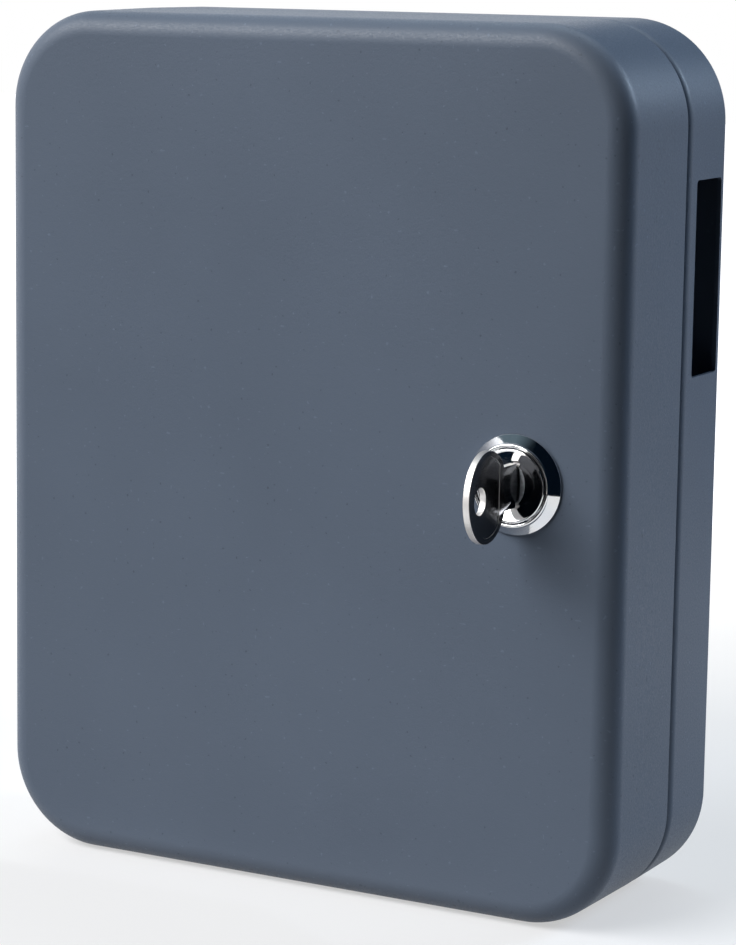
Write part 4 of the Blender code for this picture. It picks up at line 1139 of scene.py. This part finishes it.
def dark_flag(name, low, high, distance, height):
    """A screen that stands on the floor, bent round the cabinet between two azimuths."""
    shape = bmesh.new()
    pairs = []
    for step in range(FLAG_STEPS + 1):
        foot = from_azimuth(low + (high - low) * step / FLAG_STEPS, 0, distance)
        pairs.append([shape.verts.new((foot.x, foot.y, z)) for z in (FLOOR_Z, FLOOR_Z + height)])
    for near, far in zip(pairs, pairs[1:]):
        shape.faces.new((near[0], far[0], far[1], near[1]))
    hang(name, shape)


def floor_strip():
    """A slanted strip of the cloth before the cabinet's left half, which only reflections show."""
    shape = bmesh.new()
    shape.faces.new([shape.verts.new((x, y, FLOOR_Z + STRIP_THICKNESS)) for x, y in FLOOR_STRIP])
    strip = hang("floor_strip", shape)
    strip.visible_diffuse = False
    strip.visible_shadow = False


def dark_ceiling():
    """A round ceiling of the cloth with a painted blue glow on its left half, an emission though it is
    no lamp.
    """
    shape = bmesh.new()
    outline = circle(CEILING_REACH, CEILING_STEPS)
    shape.faces.new([shape.verts.new((x, y, CEILING_Z)) for x, y in outline])
    cloth = hang("dark_ceiling", shape).data.materials[0]
    tree = cloth.node_tree
    place = tree.nodes.new("ShaderNodeTexCoord")
    parts = tree.nodes.new("ShaderNodeSeparateXYZ")
    tree.links.new(place.outputs["Object"], parts.inputs["Vector"])
    # Painted light: the cloth itself glows blue, strongest on its left half.
    tree.nodes["Principled BSDF"].inputs["Emission Color"].default_value = (*CEILING_GLOW_COLOUR, 1)
    level = spread(cloth, parts.outputs["X"], *CEILING_GLOW, *CEILING_GLOW_REACH)
    connect(cloth, Emission_Strength=level)


def white_room():
    world = bpy.data.worlds.new("white_room")
    bpy.context.scene.world = world
    world.use_nodes = True
    tree = world.node_tree
    level = spread(world, seen_rays(tree), ROOM_LIGHT, 1.0, 0.0, 1.0)
    tree.nodes["Background"].inputs["Color"].default_value = (1, 1, 1, 1)
    tree.links.new(level, tree.nodes["Background"].inputs["Strength"])


def soft_box(name, azimuth, elevation, distance, size, power, colour):
    lamp = bpy.data.lights.new(name, "AREA")
    lamp.shape = "RECTANGLE"
    lamp.size, lamp.size_y = size
    lamp.energy = power
    lamp.color = colour
    holder = bpy.data.objects.new(name, lamp)
    bpy.context.scene.collection.objects.link(holder)
    holder.location = from_azimuth(azimuth, elevation, distance)
    holder.rotation_euler = (AIM - holder.location).to_track_quat("-Z", "Y").to_euler()


white_floor()
white_room()
for flag in FLAGS:
    dark_flag(*flag)
floor_strip()
dark_ceiling()
for lamp in LAMPS:
    soft_box(*lamp)


# Camera: the photograph's view, a long lens from the right and a little above. Its numbers come
# from a fit of the cabinet's edges, seam, slot and bezel to the photograph.
IMAGE_WIDTH = 736
IMAGE_HEIGHT = 945
SENSOR = 36.0
LENS_PIXELS = 3123.5935
VIEW_MIDDLE = (353.9746, 445.9070)
VIEW_YAW = math.radians(28.6779)
VIEW_PITCH = math.radians(9.1222)
VIEW_ROLL = math.radians(0.8111)
VIEW_DISTANCE = 0.72862

lens = bpy.data.cameras.new("photograph_view")
lens.sensor_fit = "VERTICAL"
lens.sensor_height = SENSOR
lens.lens = LENS_PIXELS * SENSOR / IMAGE_HEIGHT
lens.shift_x = (IMAGE_WIDTH / 2 - VIEW_MIDDLE[0]) / IMAGE_HEIGHT
lens.shift_y = (VIEW_MIDDLE[1] - IMAGE_HEIGHT / 2) / IMAGE_HEIGHT
lens.clip_start = 0.01
lens.clip_end = 50
camera = bpy.data.objects.new("photograph_view", lens)
bpy.context.scene.collection.objects.link(camera)
camera.location = from_azimuth(math.degrees(VIEW_YAW), math.degrees(VIEW_PITCH), VIEW_DISTANCE)
ahead = (AIM - camera.location).normalized()
level_right = ahead.cross(Vector((0, 0, 1))).normalized()
level_up = level_right.cross(ahead)
right = level_right * math.cos(VIEW_ROLL) + level_up * math.sin(VIEW_ROLL)
up = level_up * math.cos(VIEW_ROLL) - level_right * math.sin(VIEW_ROLL)
facing = Matrix((right, up, -ahead)).transposed()
camera.rotation_euler = facing.to_euler()
bpy.context.scene.camera = camera
bpy.context.scene.view_settings.view_transform = "Standard"
